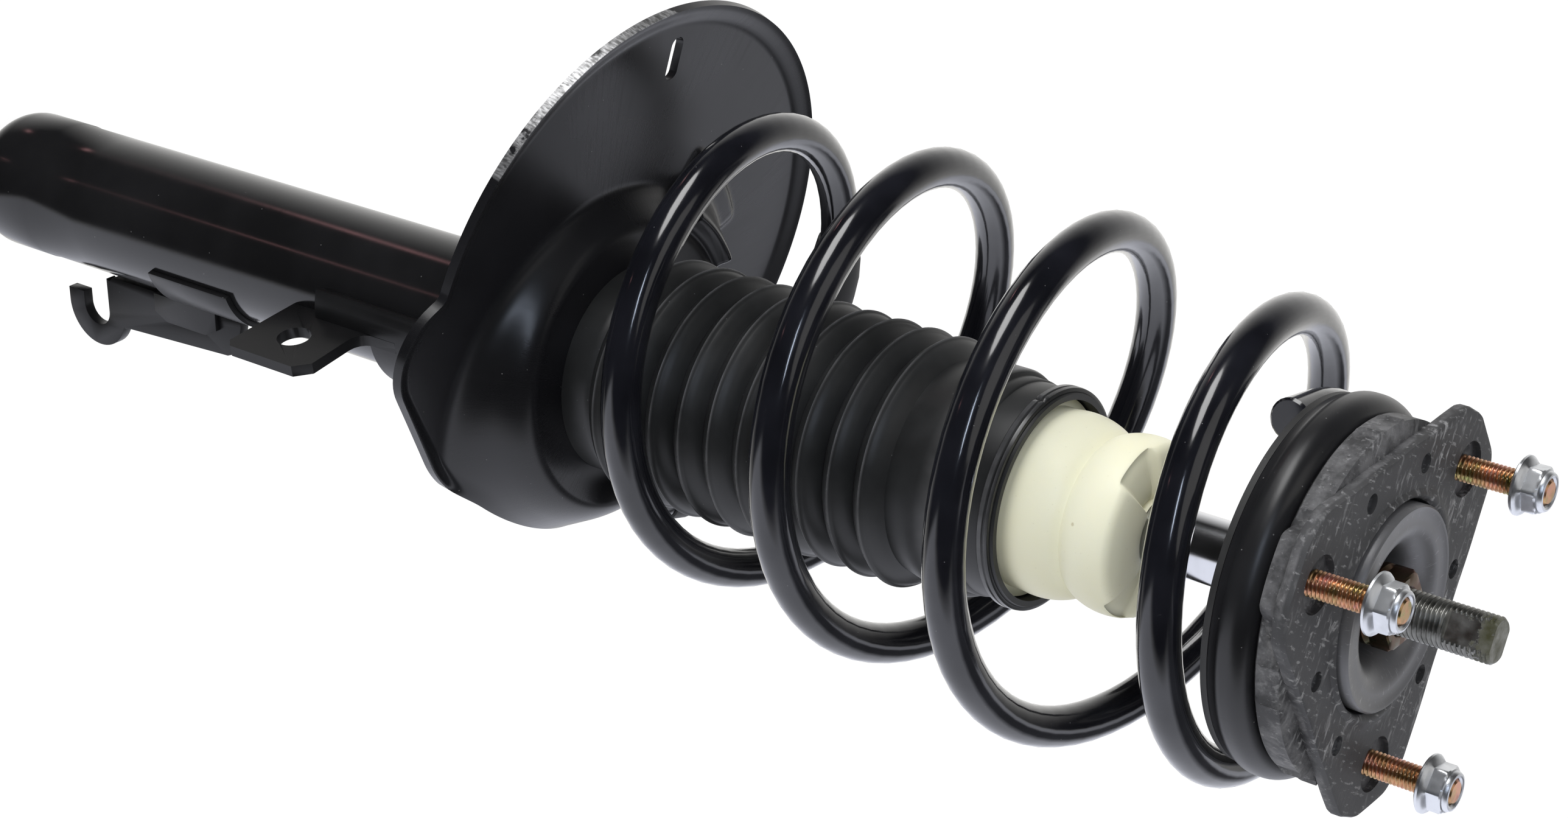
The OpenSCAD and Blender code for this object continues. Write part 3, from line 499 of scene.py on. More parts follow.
def rod_end():
    """The rod's dark thread, with greenish locking compound left on its end."""
    f = Finish("rod thread")
    z = f.axes()[2]
    wave = f.noise(220, 4)
    residue = (z.ramp(0.598, 0.6135) + f.noise(330, 6, 0.7) * 1.6 - 0.8).over(0.72, 0.05)
    colour = f.mix(wave.ramp(0.3, 0.7), (0.13, 0.13, 0.12), (0.36, 0.36, 0.34))
    f.shader(Base_Color=f.mix(residue, colour, f.mix(wave.ramp(0.35, 0.65), (0.12, 0.12, 0.1), (0.05, 0.05, 0.02))),
             Metallic=1.0 - residue * 0.85, Roughness=wave.ramp(0.3, 0.7, 0.3, 0.5),
             Normal=f.bump(wave + residue * 2.5 + f.noise(700, 3) * residue, 0.15, 0.6))
    return f.material


def plastic(name, rgb, rough):
    """Moulded nylon with a fine spark-eroded grain."""
    f = Finish(name)
    tone = f.noise(60, 3)
    f.shader(Base_Color=f.mix(tone, rgb, shade(rgb, 1.4)),
             Roughness=tone.ramp(0.3, 0.7, rough * 0.9, rough * 1.15),
             Normal=f.bump(f.noise(1100, 2), 0.03, 0.5))
    return f.material


# ---- modelling ----

def clear_selection():
    if bpy.context.object and bpy.context.object.mode != "OBJECT":
        bpy.ops.object.mode_set(mode="OBJECT")
    bpy.ops.object.select_all(action="DESELECT")


def only(obj):
    clear_selection()
    obj.select_set(True)
    bpy.context.view_layer.objects.active = obj
    return obj


def in_edit(obj, *steps):
    """Runs edit mode operators on the whole mesh, each given as (operator, arguments)."""
    only(obj)
    bpy.ops.object.mode_set(mode="EDIT")
    bpy.ops.mesh.select_mode(type="VERT")
    for operator, arguments in steps:
        bpy.ops.mesh.select_all(action="SELECT")
        operator(**arguments)
    bpy.ops.object.mode_set(mode="OBJECT")
    return obj


def turned(name, profile, steps=96):
    """A round piece: a closed half outline of (radius, height) in millimetres, spun round the axis."""
    clear_selection()
    bpy.ops.mesh.primitive_plane_add(size=MM)
    obj = bpy.context.object
    obj.name = name
    bpy.ops.object.mode_set(mode="EDIT")
    bpy.ops.mesh.select_mode(type="VERT")
    bpy.ops.mesh.select_all(action="SELECT")
    bpy.ops.mesh.merge(type="CENTER")
    r, z = profile[0]
    bpy.ops.transform.translate(value=(r * MM, 0, z * MM))
    for (r0, z0), (r1, z1) in zip(profile, profile[1:] + profile[:1]):
        bpy.ops.mesh.extrude_region_move(
            TRANSFORM_OT_translate={"value": ((r1 - r0) * MM, 0, (z1 - z0) * MM)})
    bpy.ops.mesh.select_all(action="SELECT")
    bpy.ops.mesh.remove_doubles(threshold=1e-7)
    bpy.ops.mesh.spin(steps=steps, angle=2 * math.pi, center=(0, 0, 0), axis=(0, 0, 1))
    bpy.ops.mesh.select_all(action="SELECT")
    bpy.ops.mesh.remove_doubles(threshold=2e-6)
    bpy.ops.mesh.normals_make_consistent(inside=False)
    bpy.ops.object.mode_set(mode="OBJECT")
    return obj


def reshape(obj, rule):
    """Moves each point: rule gets its radius, angle and height, in millimetres and degrees."""
    for vertex in obj.data.vertices:
        x, y, z = vertex.co / MM
        r, a, z = rule(math.hypot(x, y), math.degrees(math.atan2(y, x)), z)
        t = math.radians(a)
        vertex.co = Vector((r * math.cos(t), r * math.sin(t), z)) * MM
    obj.data.update()
    return obj


def place_at(obj, x, y):
    """Moves a piece made on the axis to its place and keeps that place in its mesh."""
    only(obj)
    bpy.ops.transform.translate(value=(x * MM, y * MM, 0))
    bpy.ops.object.transform_apply(location=True, rotation=True, scale=True)
    return obj


def copy_of(obj, name):
    twin = obj.copy()
    twin.data = obj.data.copy()
    twin.name = name
    bpy.context.scene.collection.objects.link(twin)
    return twin


def wire(name, points, radius, sides=24, swell=None):
    """A round bar along points in millimetres. Swell gives each point's share of the radius."""
    clear_selection()
    bpy.ops.curve.primitive_nurbs_path_add()
    obj = bpy.context.object
    obj.name = name
    curve = obj.data
    curve.splines.clear()
    spline = curve.splines.new("POLY")
    spline.points.add(len(points) - 1)
    for i, (point, place) in enumerate(zip(spline.points, points)):
        point.co = (*[c * MM for c in place], 1.0)
        point.radius = swell[i] if swell else 1.0
    curve.dimensions = "3D"
    curve.bevel_depth = radius * MM
    curve.bevel_resolution = sides // 2 - 2
    curve.use_fill_caps = True
    bpy.ops.object.convert(target="MESH")
    obj = bpy.context.object
    in_edit(obj, (bpy.ops.mesh.remove_doubles, {"threshold": 1e-6}),
            (bpy.ops.mesh.normals_make_consistent, {"inside": False}))
    return obj


def eased_copy(node, name, width, segments=2):
    """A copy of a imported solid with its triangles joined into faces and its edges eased."""
    source = frame["nodes"][node]
    obj = copy_of(source, name)
    obj.parent = None
    for key in list(obj.keys()):
        del obj[key]
    only(obj)
    bpy.ops.mesh.customdata_custom_splitnormals_clear()
    in_edit(obj, (bpy.ops.mesh.remove_doubles, {"threshold": 1e-6}),
            (bpy.ops.mesh.dissolve_limited, {"angle_limit": math.radians(0.3)}))
    bevel = obj.modifiers.new("eased edges", "BEVEL")
    bevel.width = width * MM
    bevel.segments = segments
    bevel.limit_method = "ANGLE"
    bevel.angle_limit = math.radians(32)
    bpy.ops.object.modifier_apply(modifier=bevel.name)
    return obj


def drill(obj, cutters):
    """Cuts the cutters' shapes out of a piece, and removes them."""
    for cutter in cutters:
        only(obj)
        cut = obj.modifiers.new("cut", "BOOLEAN")
        cut.operation = "DIFFERENCE"
        cut.solver = "EXACT"
        cut.object = cutter
        bpy.ops.object.modifier_apply(modifier=cut.name)
        bpy.data.objects.remove(cutter)
    return obj


def mark(obj, name, rule):
    """Writes a value for each point, which its material reads by name."""
    values = obj.data.attributes.new(name, "FLOAT", "POINT")
    for vertex, value in zip(obj.data.vertices, values.data):
        value.value = rule(*(vertex.co / MM))
    return obj


def dress(obj, body, slot, material, stands_for=(), angle=35):
    """Finishes a piece: smooth faces, material, the body that it rides on and the nodes that it shows."""
    only(obj)
    bpy.ops.object.transform_apply(location=True, rotation=True, scale=True)
    bpy.ops.object.shade_smooth_by_angle(angle=math.radians(angle))
    obj.data.materials.clear()
    obj.data.materials.append(material)
    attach(obj, body)
    if stands_for:
        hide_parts(*stands_for)
    return obj


def dress_node(node, material):
    """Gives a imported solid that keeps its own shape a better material."""
    mesh = frame["nodes"][node].data
    if not mesh.materials:
        mesh.materials.append(material)
    for k in range(len(mesh.materials)):
        mesh.materials[k] = material


def arc(r, z, radius, start, stop, count):
    """Points of a round corner, centred at (r, z)."""
    return [(r + radius * math.cos(math.radians(start + (stop - start) * k / count)),
             z + radius * math.sin(math.radians(start + (stop - start) * k / count)))
            for k in range(count + 1)]


def ease(s):
    s = min(1.0, max(0.0, s))
    return s * s * (3 - 2 * s)


def blend_max(a, b, soft):
    h = min(1.0, max(0.0, 0.5 + 0.5 * (a - b) / soft))
    return b + (a - b) * h + soft * h * (1 - h)


def blend_min(a, b, soft):
    return -blend_max(-a, -b, soft)


def turn_away(a, b):
    """The angle between two directions in degrees, from -180 to 180."""
    return (a - b + 180) % 360 - 180


def thread(r, a, z, core, crest, pitch):
    """The radius of a screw thread at an angle and a height."""
    share = (z / pitch - a / 360) % 1.0
    return core + (crest - core) * min(1.0, 1.35 * (1 - abs(2 * share - 1)))


def hexagon(a, across):
    return across / 2 / math.cos(math.radians((a + 30) % 60 - 30))


# ---- the spring's line ----

START = 112.0
TILT = 6.6
LOW_BLEND, TOP_BLEND, FLAT_TURNS = 0.43, 0.28, 0.56
LOW_DRAW, TOP_DRAW, LEVEL_TURNS = 1.33, 1.31, 1.68


def spring_line(s, per_turn):
    """Points along the wire: it leaves the crown, leans, bows and draws in under the upper seat."""
    wire_low = s.low_z + 0.05 + s.sleeve_wall + s.wire_r
    low = wire_low + s.low_r * math.sin(math.radians(START)) * math.sin(math.radians(TILT))
    rise = s.top_z - s.wire_r - low
    rise_turns = s.turns - FLAT_TURNS - LOW_BLEND / 2 - TOP_BLEND / 2

    def at(u):
        a = math.radians(START + 360 * u)
        t = min(u, s.turns - FLAT_TURNS)
        v = t - s.turns + FLAT_TURNS + TOP_BLEND
        share = (t * t / (2 * LOW_BLEND) if t < LOW_BLEND else
                 t - LOW_BLEND / 2 - (v * v / (2 * TOP_BLEND) if v > 0 else 0)) / rise_turns
        radius = (s.coil_r - (s.coil_r - s.low_r) * ease(1 - u / LOW_DRAW)
                  - (s.coil_r - s.top_r) * ease((u - s.turns + TOP_DRAW) / TOP_DRAW))
        tilt = math.radians(TILT * (1 - ease((u - s.turns + LEVEL_TURNS) / LEVEL_TURNS)))
        across = radius * math.sin(a)
        bow = 4 * s.bow * share * (1 - share)
        return Vector((s.low_x + (s.top_x - s.low_x) * share + bow + radius * math.cos(a),
                       s.low_y * (1 - share) - bow / 3 + across * math.cos(tilt),
                       low + rise * share - across * math.sin(tilt)))

    count = round(s.turns * per_turn)
    return [at(s.turns * k / count) for k in range(count + 1)]


def stub(a, b, reach):
    """The point that stands straight out beyond a, level, away from b."""
    away = (a - b).normalized()
    return a + reach * Vector((away.x, away.y, 0))


# ---- operators ----

class Piece:
    """What all the strut's operators share."""

    bl_options = {"REGISTER", "UNDO"}

    def execute(self, context):
        self.build(context.scene)
        return {"FINISHED"}


class STRUT_OT_tube(Piece, bpy.types.Operator):
    """Makes the damper's tube"""

    bl_idname = "strut.tube"
    bl_label = "Tube"

    def build(self, scene):
        s = Millimetres(scene.strut_damper)
        corner = s.clamp_r - s.end_round
        outline = [(0, 0), (corner * 0.5, 0)] + arc(corner, s.end_round, s.end_round, -90, 0, 12)
        outline += [(s.clamp_r, s.clamp_top - 0.6), (s.tube_r, s.clamp_top)]
        outline += [(s.tube_r, z) for z in range(60, 320, 20)]
        outline += [(s.tube_r, s.tube_len - 2)] + arc(s.tube_r - 2, s.tube_len - 2, 2, 0, 90, 5)[1:]
        outline += [(18.5, s.tube_len), (18, s.tube_len - 0.5), (18, s.tube_len - 2.3),
                    (s.tube_in, s.tube_len - 2.3), (s.tube_in, 13), (13.8, 4), (0, 4)]
        tube = turned("tube_shell", outline, 112)
        dress(tube, "strut_body", "tube_paint",
              enamel("tube enamel", scene.strut_colours.enamel, 0.14, 0.14, 0.5, 0.6), ["outer_tube"])


class STRUT_OT_brackets(Piece, bpy.types.Operator):
    """Makes the brackets and the weld beads that hold them"""

    bl_idname = "strut.brackets"
    bl_label = "Brackets"

    def build(self, scene):
        paint = enamel("bracket enamel", scene.strut_colours.enamel, 0.34, 0.2, 1.3, 0.3)
        for node, name, width in (("hose_bracket", "hose_plate", 0.5),
                                  ("hose_bracket_foot", "hose_foot", 0.35),
                                  ("link_bracket", "link_tab", 0.7)):
            dress(eased_copy(node, name, width), "strut_body", "bracket_paint", paint, [node])
        # beads: (name, start angle, start height, end angle, end height)
        for name, a0, z0, a1, z1 in (("link_weld_top", 26, 246.2, 72, 246.2),
                                     ("link_weld_rear", 83, 216, 83, 242),
                                     ("hose_weld", 99.5, 103, 99.5, 136)):
            self.bead(scene, name, a0, z0, a1, z1, paint)

    def bead(self, scene, name, a0, z0, a1, z1, paint):
        """A run of overlapping weld pools on the tube, thinned out at both ends."""
        out = Millimetres(scene.strut_damper).tube_r + 0.6
        count = 60
        points, swell = [], []
        for k in range(count + 1):
            t = k / count
            a = math.radians(a0 + (a1 - a0) * t)
            points.append((out * math.cos(a), out * math.sin(a), z0 + (z1 - z0) * t))
            swell.append((0.4 + 0.6 * ease(8 * t) * ease(8 - 8 * t)) * (1 + 0.07 * abs(math.sin(k * 0.9))))
        dress(wire(name, points, 1.9, 12, swell), "strut_body", "bracket_paint", paint, angle=60)


class STRUT_OT_spring(Piece, bpy.types.Operator):
    """Makes the coil spring and the rubber sleeve on its lower end"""

    bl_idname = "strut.spring"
    bl_label = "Spring"

    def build(self, scene):
        s = Millimetres(scene.strut_spring)
        line = spring_line(s, 64)
        reach = 2 * s.wire_r
        low_end, top_end = stub(line[0], line[1], reach), stub(line[-1], line[-2], reach)
        cut = 0.8
        points = ([low_end, low_end.lerp(line[0], cut / reach)] + line
                  + [top_end.lerp(line[-1], cut / reach), top_end])
        swell = [0.88] + [1.0] * (len(points) - 2) + [0.88]
        keep = (s.top_z - 140 - s.low_z) / (s.top_z - s.low_z)
        anchor = (0, 0, s.low_z * MM)
        spring = dress(wire("spring_wire", points, s.wire_r, 24, swell), "strut_body", "spring_coat",
                       spring_coat(scene.strut_colours.spring), ["coil_spring"])
        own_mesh(spring)
        covered = line[:round(s.sleeve_turns * 64) + 1]
        round_off = [0.8, 0.93] + [1.0] * (len(covered) - 4) + [0.93, 0.8]
        sleeve = dress(wire("spring_sleeve", covered, s.wire_r + s.sleeve_wall, 24, round_off),
                       "strut_body", "black_rubber",
                       rubber("sleeve rubber", (0.03, 0.03, 0.031), 0.62, 0.0), ["coil_sleeve"])
        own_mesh(sleeve)


class STRUT_OT_pan(Piece, bpy.types.Operator):
    """Presses the lower spring seat from one sheet"""

    bl_idname = "strut.pan"
    bl_label = "Spring pan"

    FALL, LEAN = 115.0, 12.3
    STEP, STEP_HALF = -112.0, 15.0
    LOBE = (75.17, 45.17, 21)
    LOBE_FOOT = (27.09, 34.67, 55)
    SLOT = -66.0
    RINGS, COLUMNS = 88, 352

    def outline(self, s, a):
        """The rim's distance from the pan's middle: a circle with a lobe that grows out of it."""
        lobe = 0.0
        for k in range(25):
            x, y, radius = (p + (q - p) * k / 24 for p, q in zip(self.LOBE, self.LOBE_FOOT))
            out, off = math.hypot(x, y), math.radians(a) - math.atan2(y, x)
            side = out * math.sin(off)
            if abs(side) < radius and math.cos(off) > 0:
                lobe = max(lobe, out * math.cos(off) + math.sqrt(radius * radius - side * side))
        return blend_max(s.rim_r, lobe, 2.0) - 0.6

    def from_above(self, s, p, q):
        """A place on the tilted sheet seen from above, where it is drawn in along the fall."""
        fall = math.radians(self.FALL)
        along = (p * math.cos(fall) + q * math.sin(fall)) * (math.cos(math.radians(self.LEAN)) - 1)
        return Vector((s.mid_x + p + along * math.cos(fall), s.mid_y + q + along * math.sin(fall)))

    def height(self, s, x, y, edge):
        """The sheet's upper side at a place, edge millimetres inside the rim."""
        fall = math.radians(self.FALL)
        slope = math.tan(math.radians(self.LEAN))
        floor = s.floor_z - slope * ((x - s.mid_x) * math.cos(fall) + (y - s.mid_y) * math.sin(fall))
        r = math.hypot(x, y)
        way = math.degrees(math.atan2(y, x))
        floor += s.rim_h * ease(1 - edge / 7)
        wall = s.crown_z - (r - s.crown_r) / 0.493
        z = blend_max(blend_min(s.crown_z, wall + 2, 10), floor, 12)
        # the step is a tongue: highest at its round inner edge, it falls outwards to the floor
        off = abs(turn_away(way, self.STEP))
        fallen = ease((r - s.crown_r - 3) / 15)
        tongue = s.crown_z + s.step_h + (floor + 2.4 - s.crown_z - s.step_h) * fallen
        inside = (ease((self.STEP_HALF + 2.5 - off) / 4) * ease((s.step_r + 7 - r) / 3)
                  * ease((r - s.crown_r + 2) / 7))
        return z + max(0.0, tongue - z) * inside

    def build(self, scene):
        s = Millimetres(scene.strut_pan)
        clear_selection()
        bpy.ops.mesh.primitive_grid_add(x_subdivisions=self.RINGS, y_subdivisions=self.COLUMNS, size=2)
        pan = bpy.context.object
        pan.name = "pan_sheet"
        for vertex in pan.data.vertices:
            t = (vertex.co.x + 1) / 2
            a = 180 * vertex.co.y
            way = math.radians(a)
            reach = self.outline(s, a)
            rim = self.from_above(s, reach * math.cos(way), reach * math.sin(way))
            inner = Vector((math.cos(way), math.sin(way))) * s.bore_r
            place = inner.lerp(rim, t)
            edge = (rim - inner).length * (1 - t)
            vertex.co = Vector((*place, self.height(s, place.x, place.y, edge))) * MM
        pan.data.update()
        in_edit(pan, (bpy.ops.mesh.remove_doubles, {"threshold": 1e-6}),
                (bpy.ops.mesh.normals_make_consistent, {"inside": False}))
        if sum(p.normal.z for p in pan.data.polygons) < 0:
            in_edit(pan, (bpy.ops.mesh.flip_normals, {}))
        rim_line = self.rim_places(pan)
        mark(pan, "bare", lambda x, y, z: self.wear_and_sheen(math.degrees(math.atan2(y - s.mid_y, x - s.mid_x)))
             if (round(x, 2), round(y, 2)) in rim_line else 0.0)
        only(pan)
        wall = pan.modifiers.new("sheet", "SOLIDIFY")
        wall.thickness = s.sheet * MM
        wall.offset = -1
        bpy.ops.object.modifier_apply(modifier=wall.name)
        drill(pan, [self.slot(s)])
        dress(pan, "strut_body", "pan_paint", pan_enamel(scene.strut_colours.pan), ["spring_pan"], 62)
        low, high, out = s.crown_z - s.neck_h - 2, s.crown_z - 2, s.bore_r + s.sheet
        neck = turned("pan_neck", [(s.bore_r, low), (out - 0.5, low), (out, low + 0.5), (out, high - 1),
                                   (out + 1, high), (s.bore_r, high)], 96)
        dress(neck, "strut_body", "pan_paint", pan.data.materials[0])

    @staticmethod
    def wear_and_sheen(a):
        """How bare the rim is at an angle about the pan's middle: most where it is handled."""
        return max(ease((9 - abs(turn_away(a, -30))) / 3), 0.62 * ease((32 - abs(turn_away(a, -34))) / 8))

    def rim_places(self, pan):
        count = {}
        for polygon in pan.data.polygons:
            for key in polygon.edge_keys:
                count[key] = count.get(key, 0) + 1
        return {(round(pan.data.vertices[v].co.x / MM, 2), round(pan.data.vertices[v].co.y / MM, 2))
                for key, uses in count.items() if uses == 1 for v in key
                if math.hypot(*pan.data.vertices[v].co[:2]) > 0.05}

    def slot(self, s):
        """The cutter of the drain slot, a round-ended bar on the floor."""
        clear_selection()
        bpy.ops.mesh.primitive_cylinder_add(vertices=32, radius=s.slot_wide / 2 * MM, depth=30 * MM)
        cutter = bpy.context.object
        way = math.radians(self.SLOT)
        stretch = (s.slot_long - s.slot_wide) / 2
        for vertex in cutter.data.vertices:
            out = s.slot_out + vertex.co.x / MM + math.copysign(stretch, vertex.co.x)
            side = vertex.co.y / MM
            place = self.from_above(s, out * math.cos(way) - side * math.sin(way),
                                    out * math.sin(way) + side * math.cos(way))
            vertex.co = Vector((*place, vertex.co.z / MM + s.crown_z)) * MM
        return cutter


class STRUT_OT_boot(Piece, bpy.types.Operator):
    """Makes the ribbed dust boot with its cuff, and the ring round the cuff"""

    bl_idname = "strut.boot"
    bl_label = "Dust boot"

    def build(self, scene):
        s = Millimetres(scene.strut_boot)
        outer = [(35, s.foot_z), (35, s.ribs_z - 2.5), (34.6, s.ribs_z - 1)]
        depth = s.crest_r - s.valley_r
        shape = ((0.0, 0.0), (0.06, 0.16), (0.17, 0.48), (0.3, 0.73), (0.42, 0.87), (0.465, 0.9),
                 (0.48, 0.98), (0.5, 1.0), (0.52, 0.98), (0.535, 0.89), (0.62, 0.82), (0.76, 0.6),
                 (0.9, 0.26))
        for k in range(s.ribs):
            outer += [(s.valley_r + depth * out, s.ribs_z + s.pitch * (k + up)) for up, out in shape]
        top = s.ribs_z + s.ribs * s.pitch
        outer += [(s.valley_r, top), (34.6, top + 3), (35.7, top + 8), (s.shoulder_r, top + 11.5),
                  (s.shoulder_r, s.cuff_z - 6), (35.4, s.cuff_z - 4.6), (34.2, s.cuff_z - 4),
                  (34.1, s.cuff_z), (s.cuff_r, s.cuff_z + 0.5), (s.cuff_r, s.top_z - 1),
                  (s.cuff_r - 0.4, s.top_z)]
        inner = [(r - s.wall, z) for r, z in reversed(outer)]
        boot = turned("boot_bellows", outer + inner, 128)
        # marks the rib crests and the shoulder line, where the rubber gets a painted highlight
        mark(boot, "crest", lambda x, y, z: 1.0 if self.is_crest(s, math.hypot(x, y), z) else 0.0)
        dress(boot, "strut_body", "boot_rubber",
              rubber("boot rubber", scene.strut_colours.boot, 0.42, 0.3), ["dust_boot"], 50)
        drop = 0.08708 / 0.088
        keep = 1 - 87.08 / (s.top_z - s.foot_z) / drop
        s.foot_z * MM
        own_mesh(boot)
        low = s.top_z - 5
        ring = turned("cuff_ring", [
            (s.cuff_r + 0.05, low), (34.6, low), (34.9, low + 0.4), (34.9, low + 1.7),
            (34.55, low + 2), (34.55, low + 2.4), (34.9, low + 2.7), (34.7, low + 3.8),
            (34.2, low + 4), (s.cuff_r + 0.05, low + 4)], 180)
        reshape(ring, lambda r, a, z: (r - 0.7 if abs(turn_away(a, -52)) < 0.7 and r > 34.3 else r, a, z))
        # marks the ring's outer ridges, where the nylon gets a painted highlight
        mark(ring, "crest", lambda x, y, z: 1.0 if math.hypot(x, y) > 34.8 else 0.0)
        dress(ring, "bump_stop", "snap_plastic",
              rubber("cuff ring nylon", scene.strut_colours.boot, 0.3, 0.25), ["snap_ring"])

    @staticmethod
    def is_crest(s, r, z):
        share = (z - s.ribs_z) / s.pitch % 1.0
        ribbed = s.ribs_z < z < s.ribs_z + s.ribs * s.pitch
        return (ribbed and abs(share - 0.5) < 0.03 and r > s.crest_r - 0.5) or abs(z - s.cuff_z + 6) < 0.2


class STRUT_OT_bump_stop(Piece, bpy.types.Operator):
    """Makes the two-lobe bump stop with its notched nose"""

    bl_idname = "strut.bump_stop"
    bl_label = "Bump stop"

    def build(self, scene):
        s = Millimetres(scene.strut_boot)
        base = s.top_z
        outline = [(10.3, s.root_z), (22, s.root_z), (25, s.root_z + 3), (31.2, s.root_z + 9),
                   (31.2, base - 5), (30.6, base - 4.6), (28.4, base - 4.4)]
        # lobes: (radius, angle at its start, angle at its end), the first grows out of the cuff
        for lobe, (radius, start, stop_at) in enumerate(((s.first_r, -30, 88), (s.lobe_r, -88, 52))):
            for k in range(16):
                t = k / 15
                bulge = math.sqrt(math.cos(math.radians(start + (stop_at - start) * t)))
                outline.append((s.waist_r + (radius - s.waist_r) * bulge,
                                base + (lobe + t * 0.97) * s.lobe_h))
        outline += [(25.4, s.nose_z - 2.5), (24.5, s.nose_z - 2), (21, s.nose_z - 1.1),
                    (18, s.nose_z - 0.5), (15, s.nose_z), (12.3, s.nose_z), (10.8, s.nose_z - 0.6),
                    (10.3, s.nose_z - 2)]
        stop = turned("bump_stop_foam", outline, 180)
        shelf = s.nose_z - 5.5

        def notch(r, a, z):
            if z < shelf or r < 10.6:
                return r, a, z
            dip = max(ease((21 - abs(turn_away(a, way))) / 6) for way in (-41, 83, 203))
            return r, a, z - dip * 3.2 * ease((z - shelf) / 3)

        dress(reshape(stop, notch), "bump_stop", "ivory_foam",
              ivory_foam(scene.strut_colours.foam), ["bump_stop"], 50)


class STRUT_OT_upper_seat(Piece, bpy.types.Operator):
    """Makes the upper spring seat"""

    bl_idname = "strut.upper_seat"
    bl_label = "Upper seat"

    def build(self, scene):
        s = Millimetres(scene.strut_mount)
        outline = [(s.seat_bore, s.seat_z + 0.5), (s.seat_bore + 0.5, s.seat_z)]
        outline += [(50, s.seat_z), (54.5, s.seat_z), (55.3, s.seat_z + 0.3), (55.5, s.seat_z + 0.9)]
        outline += arc(s.seat_r - 5, s.seat_z + 5.6, 5, -38, 0, 5)
        outline += arc(s.seat_r - 6, s.seat_top - 6, 6, 0, 90, 10)
        outline += [(45, s.seat_top), (44.3, s.seat_top - 0.5), (44.3, s.seat_z + 3), (33.7, s.seat_z + 3),
                    (33.7, s.seat_top - 0.5), (33.2, s.seat_top), (s.seat_bore + 0.5, s.seat_top),
                    (s.seat_bore, s.seat_top - 0.5)]
        seat = turned("seat_ring", outline, 144)
        dress(seat, "upper_seat", "seat_paint",
              enamel("seat enamel", scene.strut_colours.seat, 0.33, 0.3, 1.2), ["upper_seat"])


class STRUT_OT_mount(Piece, bpy.types.Operator):
    """Makes the rubber-covered mount and the cup in its middle"""

    bl_idname = "strut.mount"
    bl_label = "Top mount"

    def plate_reach(self, s, a):
        """The plate's distance from the axis: three sides with blunt corners."""
        reach = 200.0
        for corner in (0, 120, 240):
            for way, out in ((corner + 60, s.side), (corner, s.corner - 0.6),
                             (corner - 29, s.corner - 4.4), (corner + 29, s.corner - 4.4)):
                off = turn_away(a, way)
                if abs(off) < 85:
                    reach = blend_min(reach, out / math.cos(math.radians(off)), 1.2)
        return reach + 0.35 * math.sin(math.radians(a * 9)) * math.sin(math.radians(a * 4 + 20))

    def build(self, scene):
        s = Millimetres(scene.strut_mount)
        top = s.face_z
        # plate rows carry a share from the opening (0) to the plate's edge (1), the rest are round
        rows = [(0.0, top), (0.03, top + 0.9), (0.06, top + 1.2), (0.1, top + 0.9), (0.15, top)]
        rows += [(0.15 + 0.8 * k / 12, top) for k in range(1, 13)]
        rows += [(0.985, top - 0.15), (1.0, top - 0.9), (1.0, top - 3.4), (0.985, top - 4.4)]
        outline = [(40 + 30 * share, z) for share, z in rows]
        outline += [(78, top - 4.7), (80, top - 5.3), (80, top - 7.5), (80, top - 10), (80, top - 11),
                    (80, s.low_z + 0.8), (79, s.low_z), (40, s.low_z)]
        body = turned("mount_rubber", outline, 270)
        fins = (-70, -56, -20, 28, 41, 79, 92, 148, 160, -160, -148)

        def rule(r, a, z):
            plate = self.plate_reach(s, a)
            if r < 71:
                return s.core_r + (plate - s.core_r) * (r - 40) / 30 if r > 40 else s.core_r, a, z
            # the body under the plate swells round each stud's head
            away = min(abs(turn_away(a, corner)) for corner in (0, 120, 240))
            swell = ease(2.1 - away / 8) * ease((z - s.low_z) / 2.4 - 0.1)
            body_r = s.body_r + (60.8 - s.body_r) * swell
            fin = max(ease(1 - abs(turn_away(a, way)) / 1.6) for way in fins)
            step = 1.6 if r < 79 and z > top - 5 else 80 - r
            return body_r - step + 1.3 * fin * ease((top - 4 - z) / 1.2) * ease((z - s.low_z) / 3), a, z

        reshape(body, rule)
        drill(body, self.holes(s))
        dress(body, "top_mount", "mount_rubber",
              scuffed_rubber(scene.strut_colours.mount), ["mount_housing"], 40)
        self.cup(scene, s)

    def holes(self, s):
        """Cutters of the six locating holes and the three stud recesses."""
        cutters = []
        for corner in (0, 120, 240):
            for way, out, radius, depth in ((corner + 37.4, 41.7, 3, 8), (corner + 82.6, 41.7, 3, 8),
                                            (corner, s.stud_circle, 8.5, 2.4)):
                clear_selection()
                bpy.ops.mesh.primitive_cylinder_add(
                    vertices=36, radius=radius * MM, depth=2 * depth * MM,
                    location=(out * math.cos(math.radians(way)) * MM,
                              out * math.sin(math.radians(way)) * MM, s.face_z * MM))
                cutters.append(bpy.context.object)
        return cutters

    def cup(self, scene, s):
        depth = s.cup_top - s.cup_floor - 2.2
        funnel = [(s.cup_hole + 9.5 * (1 - math.sin(math.radians(t))),
                   s.cup_top - 0.5 - depth * (1 - math.cos(math.radians(t)))) for t in range(0, 91, 9)]
        outline = [(s.cup_r - 1.2, s.cup_top - 5), (s.cup_r, s.cup_top - 4.6), (s.cup_r, s.cup_top - 0.7),
                   (s.cup_r - 0.6, s.cup_top), (s.cup_r - 1.5, s.cup_top - 0.1)]
        outline += [(s.cup_r - 2.4, s.cup_top - 0.5)] + funnel
        outline += [(r + 2.0, z - 2.2) for r, z in reversed(funnel)] + [(s.cup_r - 1.2, s.cup_top - 2.7)]
        dress(turned("cup_shell", outline, 128), "top_mount", "cup_steel",
              cup_steel(scene.strut_colours.cup), ["mount_cup"], 45)


